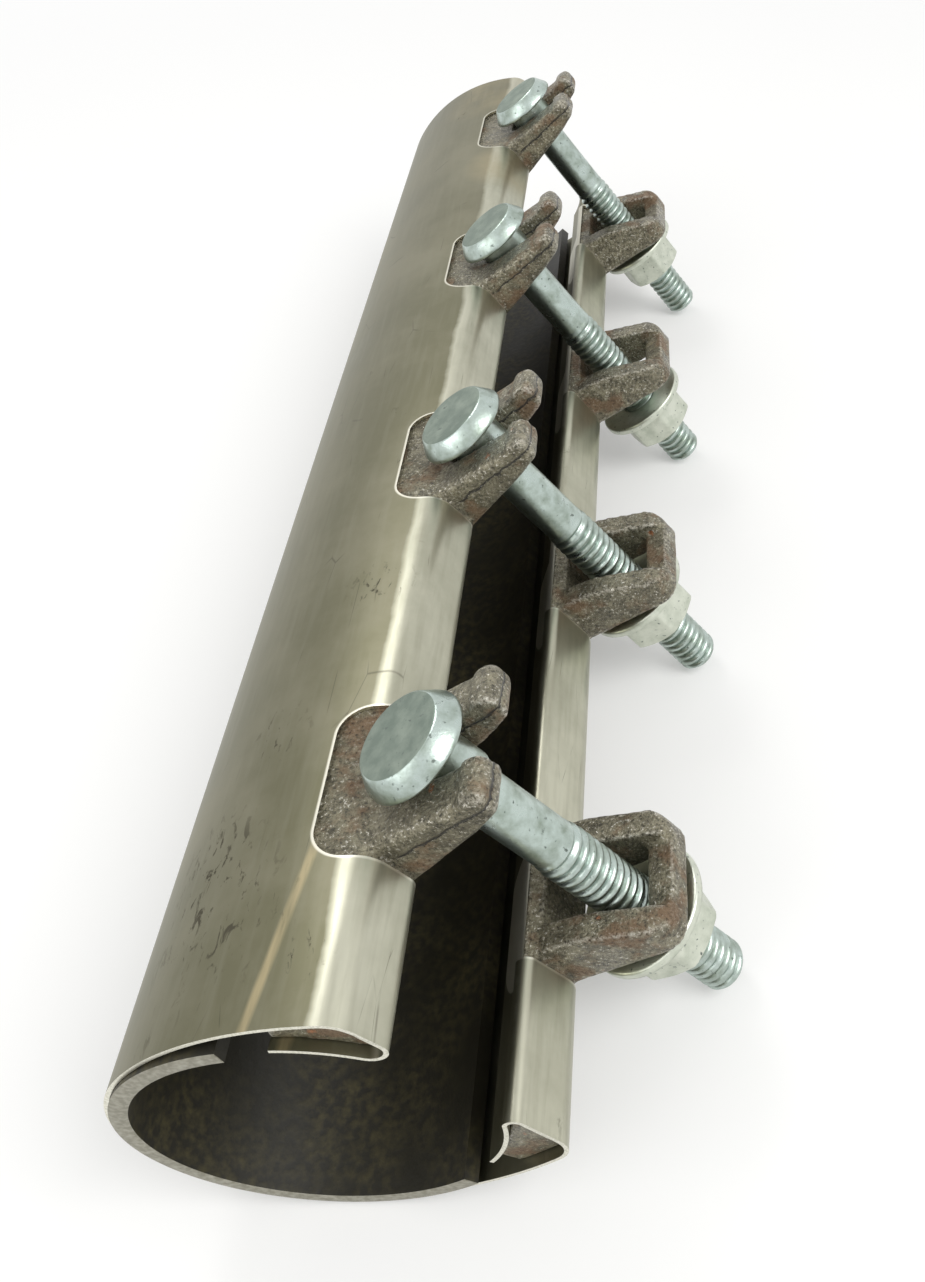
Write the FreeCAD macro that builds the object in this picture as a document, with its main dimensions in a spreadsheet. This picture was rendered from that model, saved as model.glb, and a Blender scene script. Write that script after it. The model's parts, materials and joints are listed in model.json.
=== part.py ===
import FreeCAD, Part
import math
import os
import Sketcher
from FreeCAD import Placement, Rotation, Vector

# Full-circle repair clamp for pipe: a long folded sheet band with a rubber gasket inside it, a cast bar
# with pairs of fingers along one edge of the gap, a cast bar with loops along the other edge, and four
# bolts, washers and nuts across the gap. Millimetres. Y is the pipe's axis, the origin is on that axis
# at mid length, and the clamp lies open on its side, on its band and the tip of its third bolt.
# Sections are drawn with the bolts level and then turned about Y onto the floor.

os.makedirs("parts", exist_ok=True)
doc = FreeCAD.newDocument("repair_clamp")
sheet = doc.addObject("Spreadsheet::Sheet", "Sizes")

SIZES = [
    # Pipe, gasket and band
    ("pipe_radius", 44.45),
    ("gasket_length", 508.0),
    ("gasket_thickness", 4.6),
    ("gasket_left_end", 20.0),
    ("gasket_right_end", 11.0),
    ("gasket_seat", 0.1),
    ("gasket_overhang", 1.5),
    ("sheet_thickness", 1.2),
    ("tail_clearance", 0.55),
    ("left_fold_radius", 4.6),
    ("left_fold_angle", 58.8),
    ("left_tail_end", 33.0),
    ("left_shoulder_radius", 9.0),
    ("left_flank_radius", 70.0),
    ("left_flank_start", 20.0),
    ("right_fold_radius", 3.0),
    ("right_fold_angle", 57.8),
    ("right_tail_end", 26.0),
    ("right_shoulder_radius", 10.0),
    ("right_flank_radius", 100.0),
    ("right_flank_start", 15.0),
    # Notches in the folds, one for each finger pair and each loop
    ("notch_lift", 0.3),
    ("notch_clearance", 1.5),
    ("notch_corner", 8.0),
    ("notch_open", 22.0),
    ("left_notch_lean", 37.0),
    ("left_notch_reach", 17.0),
    ("right_notch_lean", 40.0),
    ("right_notch_reach", 17.5),
    # Cast bars
    ("bar_seat", 0.12),
    ("bar_recess", 2.5),
    ("left_bar_foot", 30.0),
    ("right_bar_foot", 21.4),
    ("lug_count", 4),
    ("lug_pitch", 127.0),
    # Fingers
    ("finger_width", 12.9),
    ("finger_root_x", -20.6),
    ("finger_root_z", 43.2),
    ("finger_front_x", -28.3),
    ("finger_front_z", 71.0),
    ("finger_tip_x", -32.0),
    ("finger_top", 80.8),
    ("finger_lip", 1.6),
    ("finger_lip_depth", 6.3),
    ("finger_back_x", -38.9),
    ("finger_back_foot", 42.0),
    ("finger_sink_across", 10.0),
    ("finger_sink_down", 4.0),
    ("finger_front_curve", 12.0),
    ("finger_crown_curve", 3.0),
    ("finger_lip_curve", 1.5),
    ("finger_edge_curve", 2.5),
    # Loops
    ("loop_width", 38.0),
    ("loop_arm", 8.5),
    ("loop_root_x", 25.7),
    ("loop_root_z", 40.8),
    ("loop_knee_x", 26.8),
    ("loop_knee_z", 55.8),
    ("loop_brow_x", 34.8),
    ("loop_brow_z", 76.4),
    ("loop_top", 79.8),
    ("loop_face_x", 46.1),
    ("loop_face_foot", 37.5),
    ("loop_heel_x", 40.0),
    ("loop_heel_z", 33.0),
    ("window_sill", 44.4),
    ("window_head", 71.0),
    ("crosspiece_front", 38.4),
    ("loop_corner", 7.0),
    ("loop_knee_curve", 18.0),
    ("loop_brow_curve", 6.0),
    # Bolts, washers and nuts
    ("bolt_length", 137.0),
    ("head_radius", 15.5),
    ("head_flat_radius", 12.3),
    ("head_thickness", 6.3),
    ("head_rim", 1.3),
    ("neck_width", 14.6),
    ("neck_depth", 19.0),
    ("neck_length", 20.0),
    ("neck_clearance", 0.3),
    ("neck_flat", 0.1),
    ("shank_radius", 7.2),
    ("thread_radius", 7.9375),
    ("thread_length", 86.0),
    ("tip_chamfer", 1.6),
    ("washer_radius", 20.0),
    ("washer_hole", 8.75),
    ("washer_thickness", 3.0),
    ("washer_seat", 0.3),
    ("nut_flats", 27.0),
    ("nut_height", 15.0),
    ("nut_chamfer", 1.4),
    ("nut_clearance", 0.05),
    # Where each bolt and its nut stand, from the near end
    ("bolt_height_1", 60.7),
    ("bolt_height_2", 57.5),
    ("bolt_height_3", 55.6),
    ("bolt_height_4", 58.0),
    ("head_gap_1", 4.2),
    ("head_gap_2", 4.8),
    ("head_gap_3", 5.2),
    ("head_gap_4", 4.8),
    ("nut_back_off_1", 2.5),
    ("nut_back_off_2", 1.6),
    ("nut_back_off_3", 9.0),
    ("nut_back_off_4", 1.8),
]
for row, (alias, number) in enumerate(SIZES, 1):
    sheet.set(f"A{row}", alias)
    sheet.set(f"B{row}", str(number))
    sheet.setAlias(f"B{row}", alias)
doc.recompute()

# Radii and places that follow from the sizes above, as expressions over the sheet
GASKET_OUTER = "(Sizes.pipe_radius + Sizes.gasket_thickness)"
RING = f"({GASKET_OUTER} + Sizes.gasket_seat + Sizes.sheet_thickness)"
TAIL = "(Sizes.pipe_radius + Sizes.tail_clearance)"
BAND_LENGTH = "(Sizes.gasket_length - 2 * Sizes.gasket_overhang)"
BAR_LENGTH = f"({BAND_LENGTH} - 2 * Sizes.bar_recess)"
BAR_OFFSET = "(Sizes.sheet_thickness + Sizes.bar_seat)"
NOTCH_FLOOR = f"({TAIL} + Sizes.sheet_thickness + Sizes.notch_lift)"
SLOT_WIDTH = "(Sizes.neck_width + 2 * Sizes.neck_clearance)"
FINGERS_WIDTH = f"(2 * Sizes.finger_width + {SLOT_WIDTH})"
WINDOW_WIDTH = "(Sizes.loop_width - 2 * Sizes.loop_arm)"
LOWEST_BOLT = "min(Sizes.bolt_height_1; Sizes.bolt_height_2; Sizes.bolt_height_3; Sizes.bolt_height_4)"
SLOT_FLOOR = f"({LOWEST_BOLT} - Sizes.neck_depth / 2 - Sizes.neck_clearance)"
FIRST_LUG = "(-Sizes.lug_pitch * (Sizes.lug_count - 1) / 2)"

# The clamp is turned about Y until its ring and its third bolt's tip both touch the floor
TIP_X = "(Sizes.finger_back_x - Sizes.head_gap_3 + Sizes.bolt_length)"
TIP_Z = "(Sizes.bolt_height_3 - Sizes.thread_radius + Sizes.tip_chamfer)"
TIP_REACH = f"sqrt({TIP_X}^2 + {TIP_Z}^2)"
LAY = f"(90 deg + atan({TIP_Z} / {TIP_X}) - acos({RING} / {TIP_REACH}))"

# How far a cut starts outside what it cuts, and how many times the part's size a cut right through is long
CLEAR_OF_PART = 12
CLEAR_OF_CORNER = 2
THROUGH = 4


def number(expression):
    """The plain number that an expression over the sheet gives."""
    found = sheet.evalExpression(expression.replace("Sizes.", ""))
    return float(getattr(found, "Value", found))


def bind(sketch, kind, refs, expression, label):
    """Add a dimension whose value follows an expression; a length of nothing becomes a point on an axis."""
    value = number(expression)
    if kind in ("DistanceX", "DistanceY") and abs(value) < 1e-9:
        axis = -2 if kind == "DistanceX" else -1
        sketch.addConstraint(Sketcher.Constraint("PointOnObject", refs[0], refs[1], axis))
        return
    if kind in ("DistanceX", "DistanceY"):
        made = Sketcher.Constraint(kind, -1, 1, refs[0], refs[1], value)
    else:
        made = Sketcher.Constraint(kind, refs[0], value)
    index = sketch.addConstraint(made)
    sketch.renameConstraint(index, label)
    sketch.setExpression(f"Constraints.{label}", expression)


def add_line(sketch, start, end):
    """A line as (geometry, vertex at its start, vertex at its end)."""
    return (sketch.addGeometry(Part.LineSegment(start, end), False), 1, 2)


def add_arc(sketch, centre, radius, start, end):
    """An arc from one angle to another, in degrees, either way round."""
    circle = Part.Circle(centre, Vector(0, 0, 1), radius)
    low, high = math.radians(min(start, end)), math.radians(max(start, end))
    made = sketch.addGeometry(Part.ArcOfCircle(circle, low, high), False)
    return (made, 1, 2) if end > start else (made, 2, 1)


def join(sketch, before, after, kind="Tangent"):
    """Join the end of one element to the start of the next."""
    sketch.addConstraint(Sketcher.Constraint(kind, before[0], before[2], after[0], after[1]))


def polygon(sketch, corners):
    """A closed outline through corners (across, up, radius), all expressions; radius None is sharp."""
    spots = [Vector(number(across), number(up), 0) for across, up, _ in corners]
    radii = [number(radius) if radius else 0.0 for _, _, radius in corners]
    count = len(spots)
    reach = []
    for i, spot in enumerate(spots):
        back = (spots[i - 1] - spot).normalize()
        ahead = (spots[(i + 1) % count] - spot).normalize()
        half = back.getAngle(ahead) / 2
        run = radii[i] / math.tan(half) if radii[i] else 0.0
        middle = spot + (back + ahead).normalize() * (radii[i] / math.sin(half))
        reach.append((spot + back * run, spot + ahead * run, middle))
    lines = []
    for i in range(count):
        lines.append(add_line(sketch, reach[i][1], reach[(i + 1) % count][0]))
    for i, (across, up, radius) in enumerate(corners):
        before, after = lines[i - 1], lines[i]
        if radius is None:
            join(sketch, before, after, "Coincident")
            held = (after[0], after[1])
        else:
            entry, leave, middle = reach[i]
            start = math.degrees(math.atan2(entry.y - middle.y, entry.x - middle.x))
            end = math.degrees(math.atan2(leave.y - middle.y, leave.x - middle.x))
            while end - start > 180:
                end -= 360
            while end - start < -180:
                end += 360
            arc = add_arc(sketch, middle, radii[i], start, end)
            join(sketch, before, arc)
            join(sketch, arc, after)
            bind(sketch, "Radius", (arc[0],), radius, f"corner_{i + 1}_radius")
            corner = sketch.addGeometry(Part.Point(spots[i]), True)
            sketch.addConstraint(Sketcher.Constraint("PointOnObject", corner, 1, before[0]))
            sketch.addConstraint(Sketcher.Constraint("PointOnObject", corner, 1, after[0]))
            held = (corner, 1)
        bind(sketch, "DistanceX", held, across, f"corner_{i + 1}_across")
        bind(sketch, "DistanceY", held, up, f"corner_{i + 1}_up")


def add_circle(sketch, radius, label):
    """A circle round the sketch's origin."""
    made = sketch.addGeometry(Part.Circle(Vector(), Vector(0, 0, 1), number(radius)), False)
    sketch.addConstraint(Sketcher.Constraint("Coincident", made, 3, -1, 1))
    bind(sketch, "Radius", (made,), radius, label)


def new_body(name):
    """A body for one piece, named and labelled as its node."""
    body = doc.addObject("PartDesign::Body", name)
    body.Label = name
    return body


def new_sketch(body, name, role):
    """A sketch on one of the body's own origin planes."""
    sketch = body.newObject("Sketcher::SketchObject", name)
    support = next(part for part in body.Origin.OriginFeatures if part.Role == role)
    sketch.AttachmentSupport = (support, [""])
    sketch.MapMode = "FlatFace"
    return sketch


def pad(body, name, sketch, length, both_ways=True):
    """A pad of the sketch, to both sides of its plane unless told otherwise."""
    made = body.newObject("PartDesign::Pad", name)
    made.Profile = sketch
    made.Midplane = both_ways
    made.setExpression("Length", length)
    sketch.Visibility = False
    doc.recompute()
    return made


def pocket(body, name, sketch, length, both_ways=True, reverse=False):
    """A pocket of the sketch that has to take something away."""
    before = body.Shape.Volume
    made = body.newObject("PartDesign::Pocket", name)
    made.Profile = sketch
    made.Midplane = both_ways
    made.Reversed = reverse
    made.setExpression("Length", length)
    doc.recompute()
    if made.Shape.Volume >= before - 1:
        raise RuntimeError(f"{name} cuts nothing")
    return made


def along_band(body, name, features, sketch, axis, towards_far):
    """Repeat features at every lug, from the near end."""
    made = body.newObject("PartDesign::LinearPattern", name)
    made.Originals = features
    made.Direction = (sketch, [axis])
    made.Reversed = not towards_far
    made.setExpression("Length", "Sizes.lug_pitch * (Sizes.lug_count - 1)")
    made.setExpression("Occurrences", "Sizes.lug_count")
    body.Tip = made
    doc.recompute()
    return made


def lay_down(body, along="0", lug="0", height="0"):
    """Turn a piece onto the floor, with its own origin at a place given in the section's axes."""
    body.Placement = Placement(Vector(), Rotation(Vector(0, 1, 0), number(LAY)))
    body.setExpression("Placement.Rotation.Angle", LAY)
    body.setExpression("Placement.Base.x", f"({along}) * cos({LAY}) + ({height}) * sin({LAY})")
    body.setExpression("Placement.Base.y", lug)
    body.setExpression("Placement.Base.z", f"({height}) * cos({LAY}) - ({along}) * sin({LAY})")


def fold_side(sketch, side, offset, tail_end):
    """One side of the folded section, from the tail's end over the fold to the flank, at an offset inwards
    from the sheet's outer face. Angles are those of the left side; the right side mirrors them."""
    hand = -1 if side == "left" else 1
    drop = number(offset)
    fold_angle = number(f"Sizes.{side}_fold_angle")
    flank_start = math.radians(number(f"Sizes.{side}_flank_start"))
    fold_radius = f"Sizes.{side}_fold_radius"
    fold_orbit = f"({TAIL} + {fold_radius})"
    orbit = number(fold_orbit)
    rise = number(f"Sizes.{side}_flank_radius") - number(RING)
    bent = math.radians(fold_angle)
    fold = Vector(hand * orbit * math.cos(bent), orbit * math.sin(bent), 0)
    top = fold.y + number(fold_radius) - drop
    flank = Vector(-hand * rise * math.cos(flank_start), rise * math.sin(flank_start), 0)
    flank_radius = number(f"Sizes.{side}_flank_radius") - drop
    shoulder_radius = number(f"Sizes.{side}_shoulder_radius") - drop
    shoulder_up = top - shoulder_radius
    spread = math.sqrt((flank_radius - shoulder_radius) ** 2 - (shoulder_up - flank.y) ** 2)
    shoulder = Vector(flank.x + hand * spread, shoulder_up, 0)
    turn = math.degrees(math.atan2(shoulder.y - flank.y, spread))

    def angle(left_angle):
        return left_angle if hand < 0 else 180 - left_angle

    tail_angles = (angle(180 - number(tail_end)), angle(180 - fold_angle))
    tail = add_arc(sketch, Vector(), number(TAIL) + drop, *tail_angles)
    bend = add_arc(sketch, fold, number(fold_radius) - drop, angle(-fold_angle), angle(90))
    roof = add_line(sketch, Vector(fold.x, top, 0), Vector(shoulder.x, top, 0))
    round_off = add_arc(sketch, shoulder, shoulder_radius, angle(90), angle(180 - turn))
    wall = add_arc(sketch, flank, flank_radius, angle(180 - turn), angle(180 + math.degrees(flank_start)))
    for before, after in ((tail, bend), (bend, roof), (roof, round_off), (round_off, wall)):
        join(sketch, before, after)
    sketch.addConstraint(Sketcher.Constraint("Coincident", tail[0], 3, -1, 1))
    sketch.addConstraint(Sketcher.Constraint("Horizontal", roof[0]))
    label = f"{side}_{tail[0]}"
    bind(sketch, "Radius", (tail[0],), f"{TAIL} + {offset}", f"{label}_tail")
    bind(sketch, "Radius", (bend[0],), f"{fold_radius} - {offset}", f"{label}_fold")
    fold_across = f"{hand} * {fold_orbit} * cos(Sizes.{side}_fold_angle)"
    bind(sketch, "DistanceX", (bend[0], 3), fold_across, f"{label}_fold_x")
    bind(sketch, "Radius", (round_off[0],), f"Sizes.{side}_shoulder_radius - {offset}", f"{label}_shoulder")
    bind(sketch, "Radius", (wall[0],), f"Sizes.{side}_flank_radius - {offset}", f"{label}_flank")
    tail_up = f"({TAIL} + {offset}) * sin({tail_end})"
    bind(sketch, "DistanceY", (tail[0], tail[1]), tail_up, f"{label}_tail_end")
    return tail, wall


def skin(sketch, offset):
    """The whole folded section at one offset: left side, ring and right side. Returns the two tails."""
    starts = [number(f"Sizes.{side}_flank_start") for side in ("left", "right")]
    ring = add_arc(sketch, Vector(), number(RING) - number(offset), 180 + starts[0], 360 - starts[1])
    sketch.addConstraint(Sketcher.Constraint("Coincident", ring[0], 3, -1, 1))
    bind(sketch, "Radius", (ring[0],), f"{RING} - {offset}", f"ring_{ring[0]}")
    tails = []
    for side, hand, end in (("left", -1, ring[1]), ("right", 1, ring[2])):
        tail, wall = fold_side(sketch, side, offset, f"Sizes.{side}_tail_end")
        sketch.addConstraint(Sketcher.Constraint("Tangent", wall[0], wall[2], ring[0], end))
        bind(sketch, "DistanceX", (wall[0], wall[2]),
             f"{hand} * ({RING} - {offset}) * cos(Sizes.{side}_flank_start)", f"{side}_{wall[0]}_start")
        tails.append(tail)
    return tails


def notch(body, side, width):
    """The rounded cut through the fold, over the top and down the flank that a lug stands in."""
    hand = -1 if side == "left" else 1
    sketch = new_sketch(body, f"{side}_notch_outline", "XY_Plane")
    lean = f"{hand} * Sizes.{side}_notch_lean"
    sketch.AttachmentOffset = Placement(Vector(), Rotation(Vector(0, 1, 0), number(lean)))
    sketch.setExpression("AttachmentOffset.Rotation.Angle", lean)
    sketch.setExpression("AttachmentOffset.Base.x", f"{NOTCH_FLOOR} * sin({lean})")
    sketch.setExpression("AttachmentOffset.Base.y", FIRST_LUG)
    sketch.setExpression("AttachmentOffset.Base.z", f"{NOTCH_FLOOR} * cos({lean})")
    half = f"({width} / 2 + Sizes.notch_clearance)"
    reach = f"{hand} * Sizes.{side}_notch_reach"
    opened = f"{-hand} * Sizes.notch_open"
    polygon(sketch, [
        (opened, f"-{half}", None),
        (reach, f"-{half}", "Sizes.notch_corner"),
        (reach, half, "Sizes.notch_corner"),
        (opened, half, None),
    ])
    cut = pocket(body, f"{side}_notch", sketch, f"Sizes.notch_open + {CLEAR_OF_PART}", False, True)
    return along_band(body, f"{side}_notches", [cut], sketch, "V_Axis", True)


def make_band():
    """The stainless sheet: ring, flanks, shoulders, folds and the tails tucked back under the bars."""
    body = new_body("band_shell")
    sketch = new_sketch(body, "band_section", "XZ_Plane")
    outer = skin(sketch, "0")
    inner = skin(sketch, "Sizes.sheet_thickness")
    for outer_tail, inner_tail in zip(outer, inner):
        start = sketch.Geometry[outer_tail[0]]
        end = sketch.Geometry[inner_tail[0]]
        ends = [start.StartPoint if outer_tail[1] == 1 else start.EndPoint,
                end.StartPoint if inner_tail[1] == 1 else end.EndPoint]
        cap = add_line(sketch, ends[0], ends[1])
        sketch.addConstraint(Sketcher.Constraint("Coincident", outer_tail[0], outer_tail[1], cap[0], cap[1]))
        sketch.addConstraint(Sketcher.Constraint("Coincident", inner_tail[0], inner_tail[1], cap[0], cap[2]))
    pad(body, "folded_sheet", sketch, BAND_LENGTH)
    notch(body, "left", FINGERS_WIDTH)
    notch(body, "right", "Sizes.loop_width")
    lay_down(body)
    return body


def make_gasket():
    """The rubber lining, open at the top like the band and a little longer than it."""
    body = new_body("gasket")
    sketch = new_sketch(body, "gasket_section", "XZ_Plane")
    starts = (180 - number("Sizes.gasket_left_end"), 360 + number("Sizes.gasket_right_end"))
    arcs = []
    for radius, label in (("Sizes.pipe_radius", "inner"), (GASKET_OUTER, "outer")):
        arc = add_arc(sketch, Vector(), number(radius), starts[0], starts[1])
        sketch.addConstraint(Sketcher.Constraint("Coincident", arc[0], 3, -1, 1))
        bind(sketch, "Radius", (arc[0],), radius, f"{label}_radius")
        for vertex, side in ((1, "left"), (2, "right")):
            bind(sketch, "DistanceY", (arc[0], vertex), f"{radius} * sin(Sizes.gasket_{side}_end)",
                 f"{label}_{side}_end")
        arcs.append(sketch.Geometry[arc[0]])
    for vertex, end in ((1, "StartPoint"), (2, "EndPoint")):
        line = add_line(sketch, getattr(arcs[0], end), getattr(arcs[1], end))
        sketch.addConstraint(Sketcher.Constraint("Coincident", 0, vertex, line[0], 1))
        sketch.addConstraint(Sketcher.Constraint("Coincident", 1, vertex, line[0], 2))
    pad(body, "lining", sketch, "Sizes.gasket_length")
    lay_down(body)
    return body


def start_bar(name, side):
    """A cast bar that fills the fold, from the tail up to the roof and down the flank to its foot."""
    hand = -1 if side == "left" else 1
    body = new_body(name)
    sketch = new_sketch(body, f"{side}_bar_section", "XZ_Plane")
    tail, wall = fold_side(sketch, side, BAR_OFFSET, f"Sizes.{side}_tail_end")
    rise = f"(Sizes.{side}_flank_radius - {RING})"
    flank_across = f"{-hand} * {rise} * cos(Sizes.{side}_flank_start)"
    bind(sketch, "DistanceX", (wall[0], 3), flank_across, "flank_centre_x")
    bind(sketch, "DistanceY", (wall[0], 3), f"{rise} * sin(Sizes.{side}_flank_start)", "flank_centre_z")
    bind(sketch, "DistanceY", (wall[0], wall[2]), f"Sizes.{side}_bar_foot", "foot")
    sketch.solve()
    ends = []
    for element, vertex in ((wall, wall[2]), (tail, tail[1])):
        curve = sketch.Geometry[element[0]]
        ends.append(curve.StartPoint if vertex == 1 else curve.EndPoint)
    close = add_line(sketch, ends[0], ends[1])
    sketch.addConstraint(Sketcher.Constraint("Coincident", wall[0], wall[2], close[0], close[1]))
    sketch.addConstraint(Sketcher.Constraint("Coincident", tail[0], tail[1], close[0], close[2]))
    pad(body, f"{side}_bar", sketch, BAR_LENGTH)
    return body


def at_first_lug(sketch, across_band=True):
    """Move a lug's sketch from mid length to the first lug."""
    if across_band:
        sketch.setExpression("AttachmentOffset.Base.z", f"-{FIRST_LUG}")
    else:
        sketch.setExpression("AttachmentOffset.Base.x", FIRST_LUG)


def long_edges(feature, level, offsets):
    """Names of the straight edges across the band at a height and at given distances from a lug's middle."""
    found = []
    lugs = [number(FIRST_LUG) + i * number("Sizes.lug_pitch") for i in range(int(number("Sizes.lug_count")))]
    wanted = [lug + offset for lug in lugs for offset in offsets]
    for index, edge in enumerate(feature.Shape.Edges, 1):
        box = edge.BoundBox
        level_edge = abs(box.ZMin - level) < 0.01 and abs(box.ZMax - level) < 0.01 and box.YLength < 0.01
        if level_edge and any(abs(box.YMin - y) < 0.01 for y in wanted):
            found.append(f"Edge{index}")
    return found


def fillet(body, name, base, edges, radius):
    """Round the named edges of the last feature."""
    made = body.newObject("PartDesign::Fillet", name)
    made.Base = (base, edges)
    made.setExpression("Radius", radius)
    body.Tip = made
    doc.recompute()
    return made


def make_finger_bar():
    """The bar with a pair of fingers at each lug, and between them the slot that a bolt's neck lies in."""
    body = start_bar("finger_bar", "left")
    side = new_sketch(body, "finger_side", "XZ_Plane")
    at_first_lug(side)
    lip = "Sizes.finger_back_x - Sizes.finger_lip"
    foot = "Sizes.finger_top - Sizes.finger_lip_depth"
    crown = "Sizes.finger_crown_curve"
    sunk_x = "Sizes.finger_root_x - Sizes.finger_sink_across"
    sunk_z = "Sizes.finger_back_foot - Sizes.finger_sink_down"
    polygon(side, [
        ("Sizes.finger_root_x", "Sizes.finger_root_z", None),
        ("Sizes.finger_front_x", "Sizes.finger_front_z", "Sizes.finger_front_curve"),
        ("Sizes.finger_tip_x", "Sizes.finger_top", crown),
        (lip, "Sizes.finger_top", crown),
        (lip, foot, "Sizes.finger_lip_curve"),
        ("Sizes.finger_back_x", f"{foot} - Sizes.finger_lip", "Sizes.finger_lip_curve"),
        ("Sizes.finger_back_x", "Sizes.finger_back_foot", None),
        (sunk_x, sunk_z, None),
    ])
    block = pad(body, "finger_block", side, FINGERS_WIDTH)
    front = new_sketch(body, "finger_slot_outline", "YZ_Plane")
    at_first_lug(front, False)
    half = f"{SLOT_WIDTH} / 2"
    sky = f"Sizes.finger_top + {CLEAR_OF_PART}"
    polygon(front, [
        (f"-{half}", SLOT_FLOOR, f"{half} - Sizes.neck_flat"),
        (half, SLOT_FLOOR, f"{half} - Sizes.neck_flat"),
        (half, sky, None),
        (f"-{half}", sky, None),
    ])
    slot = pocket(body, "finger_slot", front, f"{THROUGH} * {RING}")
    lugs = along_band(body, "finger_pairs", [block, slot], front, "H_Axis", True)
    sides = [number(f"{sign}({FINGERS_WIDTH}) / 2") for sign in ("", "-")]
    edges = long_edges(lugs, number("Sizes.finger_top"), sides)
    fillet(body, "finger_tips", lugs, edges, "Sizes.finger_edge_curve")
    lay_down(body)
    return body


def make_loop_bar():
    """The bar with a closed loop at each lug, its crosspiece set back behind the arms' front edges."""
    body = start_bar("loop_bar", "right")
    side = new_sketch(body, "loop_side", "XZ_Plane")
    at_first_lug(side)
    polygon(side, [
        ("Sizes.loop_root_x", "Sizes.loop_root_z", None),
        ("Sizes.loop_knee_x", "Sizes.loop_knee_z", "Sizes.loop_knee_curve"),
        ("Sizes.loop_brow_x", "Sizes.loop_brow_z", "Sizes.loop_brow_curve"),
        ("Sizes.crosspiece_front", "Sizes.loop_top", None),
        ("Sizes.loop_face_x", "Sizes.loop_top", None),
        ("Sizes.loop_face_x", "Sizes.loop_face_foot", None),
        ("Sizes.loop_heel_x", "Sizes.loop_heel_z", None),
    ])
    block = pad(body, "loop_block", side, "Sizes.loop_width")
    window = new_sketch(body, "window_outline", "XZ_Plane")
    at_first_lug(window)
    front, back = f"Sizes.loop_root_x - {CLEAR_OF_PART}", f"Sizes.loop_face_x + {CLEAR_OF_PART}"
    sky = f"Sizes.loop_top + {CLEAR_OF_PART}"
    polygon(window, [
        (front, "Sizes.window_sill", None),
        (back, "Sizes.window_sill", None),
        (back, "Sizes.window_head", None),
        ("Sizes.crosspiece_front", "Sizes.window_head", None),
        ("Sizes.crosspiece_front", sky, None),
        (front, sky, None),
    ])
    opening = pocket(body, "window", window, WINDOW_WIDTH)
    lugs = along_band(body, "loops", [block, opening], side, "N_Axis", False)
    sides = [number(f"{sign}Sizes.loop_width / 2") for sign in ("", "-")]
    fillet(body, "loop_corners", lugs, long_edges(lugs, number("Sizes.loop_top"), sides), "Sizes.loop_corner")
    lay_down(body)
    return body


def make_bolt(index):
    """A bolt with a bevelled round head, an oval neck that keeps it from turning, and a long thread."""
    body = new_body(f"bolt_{index}")
    outline = new_sketch(body, f"bolt_outline_{index}", "XZ_Plane")
    start = "Sizes.bolt_length - Sizes.thread_length"
    step = "(Sizes.thread_radius - Sizes.shank_radius)"
    polygon(outline, [
        ("-Sizes.head_thickness", "0", None),
        ("-Sizes.head_thickness", "Sizes.head_flat_radius", None),
        ("-Sizes.head_rim", "Sizes.head_radius", None),
        ("0", "Sizes.head_radius", None),
        ("0", "Sizes.shank_radius", None),
        (start, "Sizes.shank_radius", None),
        (f"{start} + {step}", "Sizes.thread_radius", None),
        ("Sizes.bolt_length - Sizes.tip_chamfer", "Sizes.thread_radius", None),
        ("Sizes.bolt_length", "Sizes.thread_radius - Sizes.tip_chamfer", None),
        ("Sizes.bolt_length", "0", None),
    ])
    turned = body.newObject("PartDesign::Revolution", f"bolt_turned_{index}")
    turned.Profile = outline
    turned.ReferenceAxis = (outline, ["H_Axis"])
    turned.Angle = 360
    doc.recompute()
    oval = new_sketch(body, f"neck_outline_{index}", "YZ_Plane")
    half, rise = "Sizes.neck_width / 2", "Sizes.neck_depth / 2"
    polygon(oval, [
        (f"-{half}", f"-{rise}", f"{half} - Sizes.neck_flat"),
        (half, f"-{rise}", f"{half} - Sizes.neck_flat"),
        (half, rise, f"{half} - Sizes.neck_flat"),
        (f"-{half}", rise, f"{half} - Sizes.neck_flat"),
    ])
    pad(body, f"neck_{index}", oval, "Sizes.neck_length", False)
    lay_down(body, f"Sizes.finger_back_x - Sizes.head_gap_{index}", lug_place(index), bolt_height(index))
    return body


def lug_place(index):
    """Distance of a lug from mid length."""
    return f"{FIRST_LUG} + Sizes.lug_pitch * {index - 1}"


def bolt_height(index):
    """Height of a bolt's axis over the pipe's."""
    return f"Sizes.bolt_height_{index}"


def make_washer(index):
    """A flat washer, on its loop or standing off with its nut."""
    body = new_body(f"washer_{index}")
    ring = new_sketch(body, f"washer_outline_{index}", "YZ_Plane")
    add_circle(ring, "Sizes.washer_radius", "outer")
    add_circle(ring, "Sizes.washer_hole", "hole")
    pad(body, f"washer_plate_{index}", ring, "Sizes.washer_thickness", False)
    along = f"Sizes.loop_face_x + Sizes.washer_seat + Sizes.nut_back_off_{index}"
    lay_down(body, along, lug_place(index), bolt_height(index))
    return body


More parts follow.
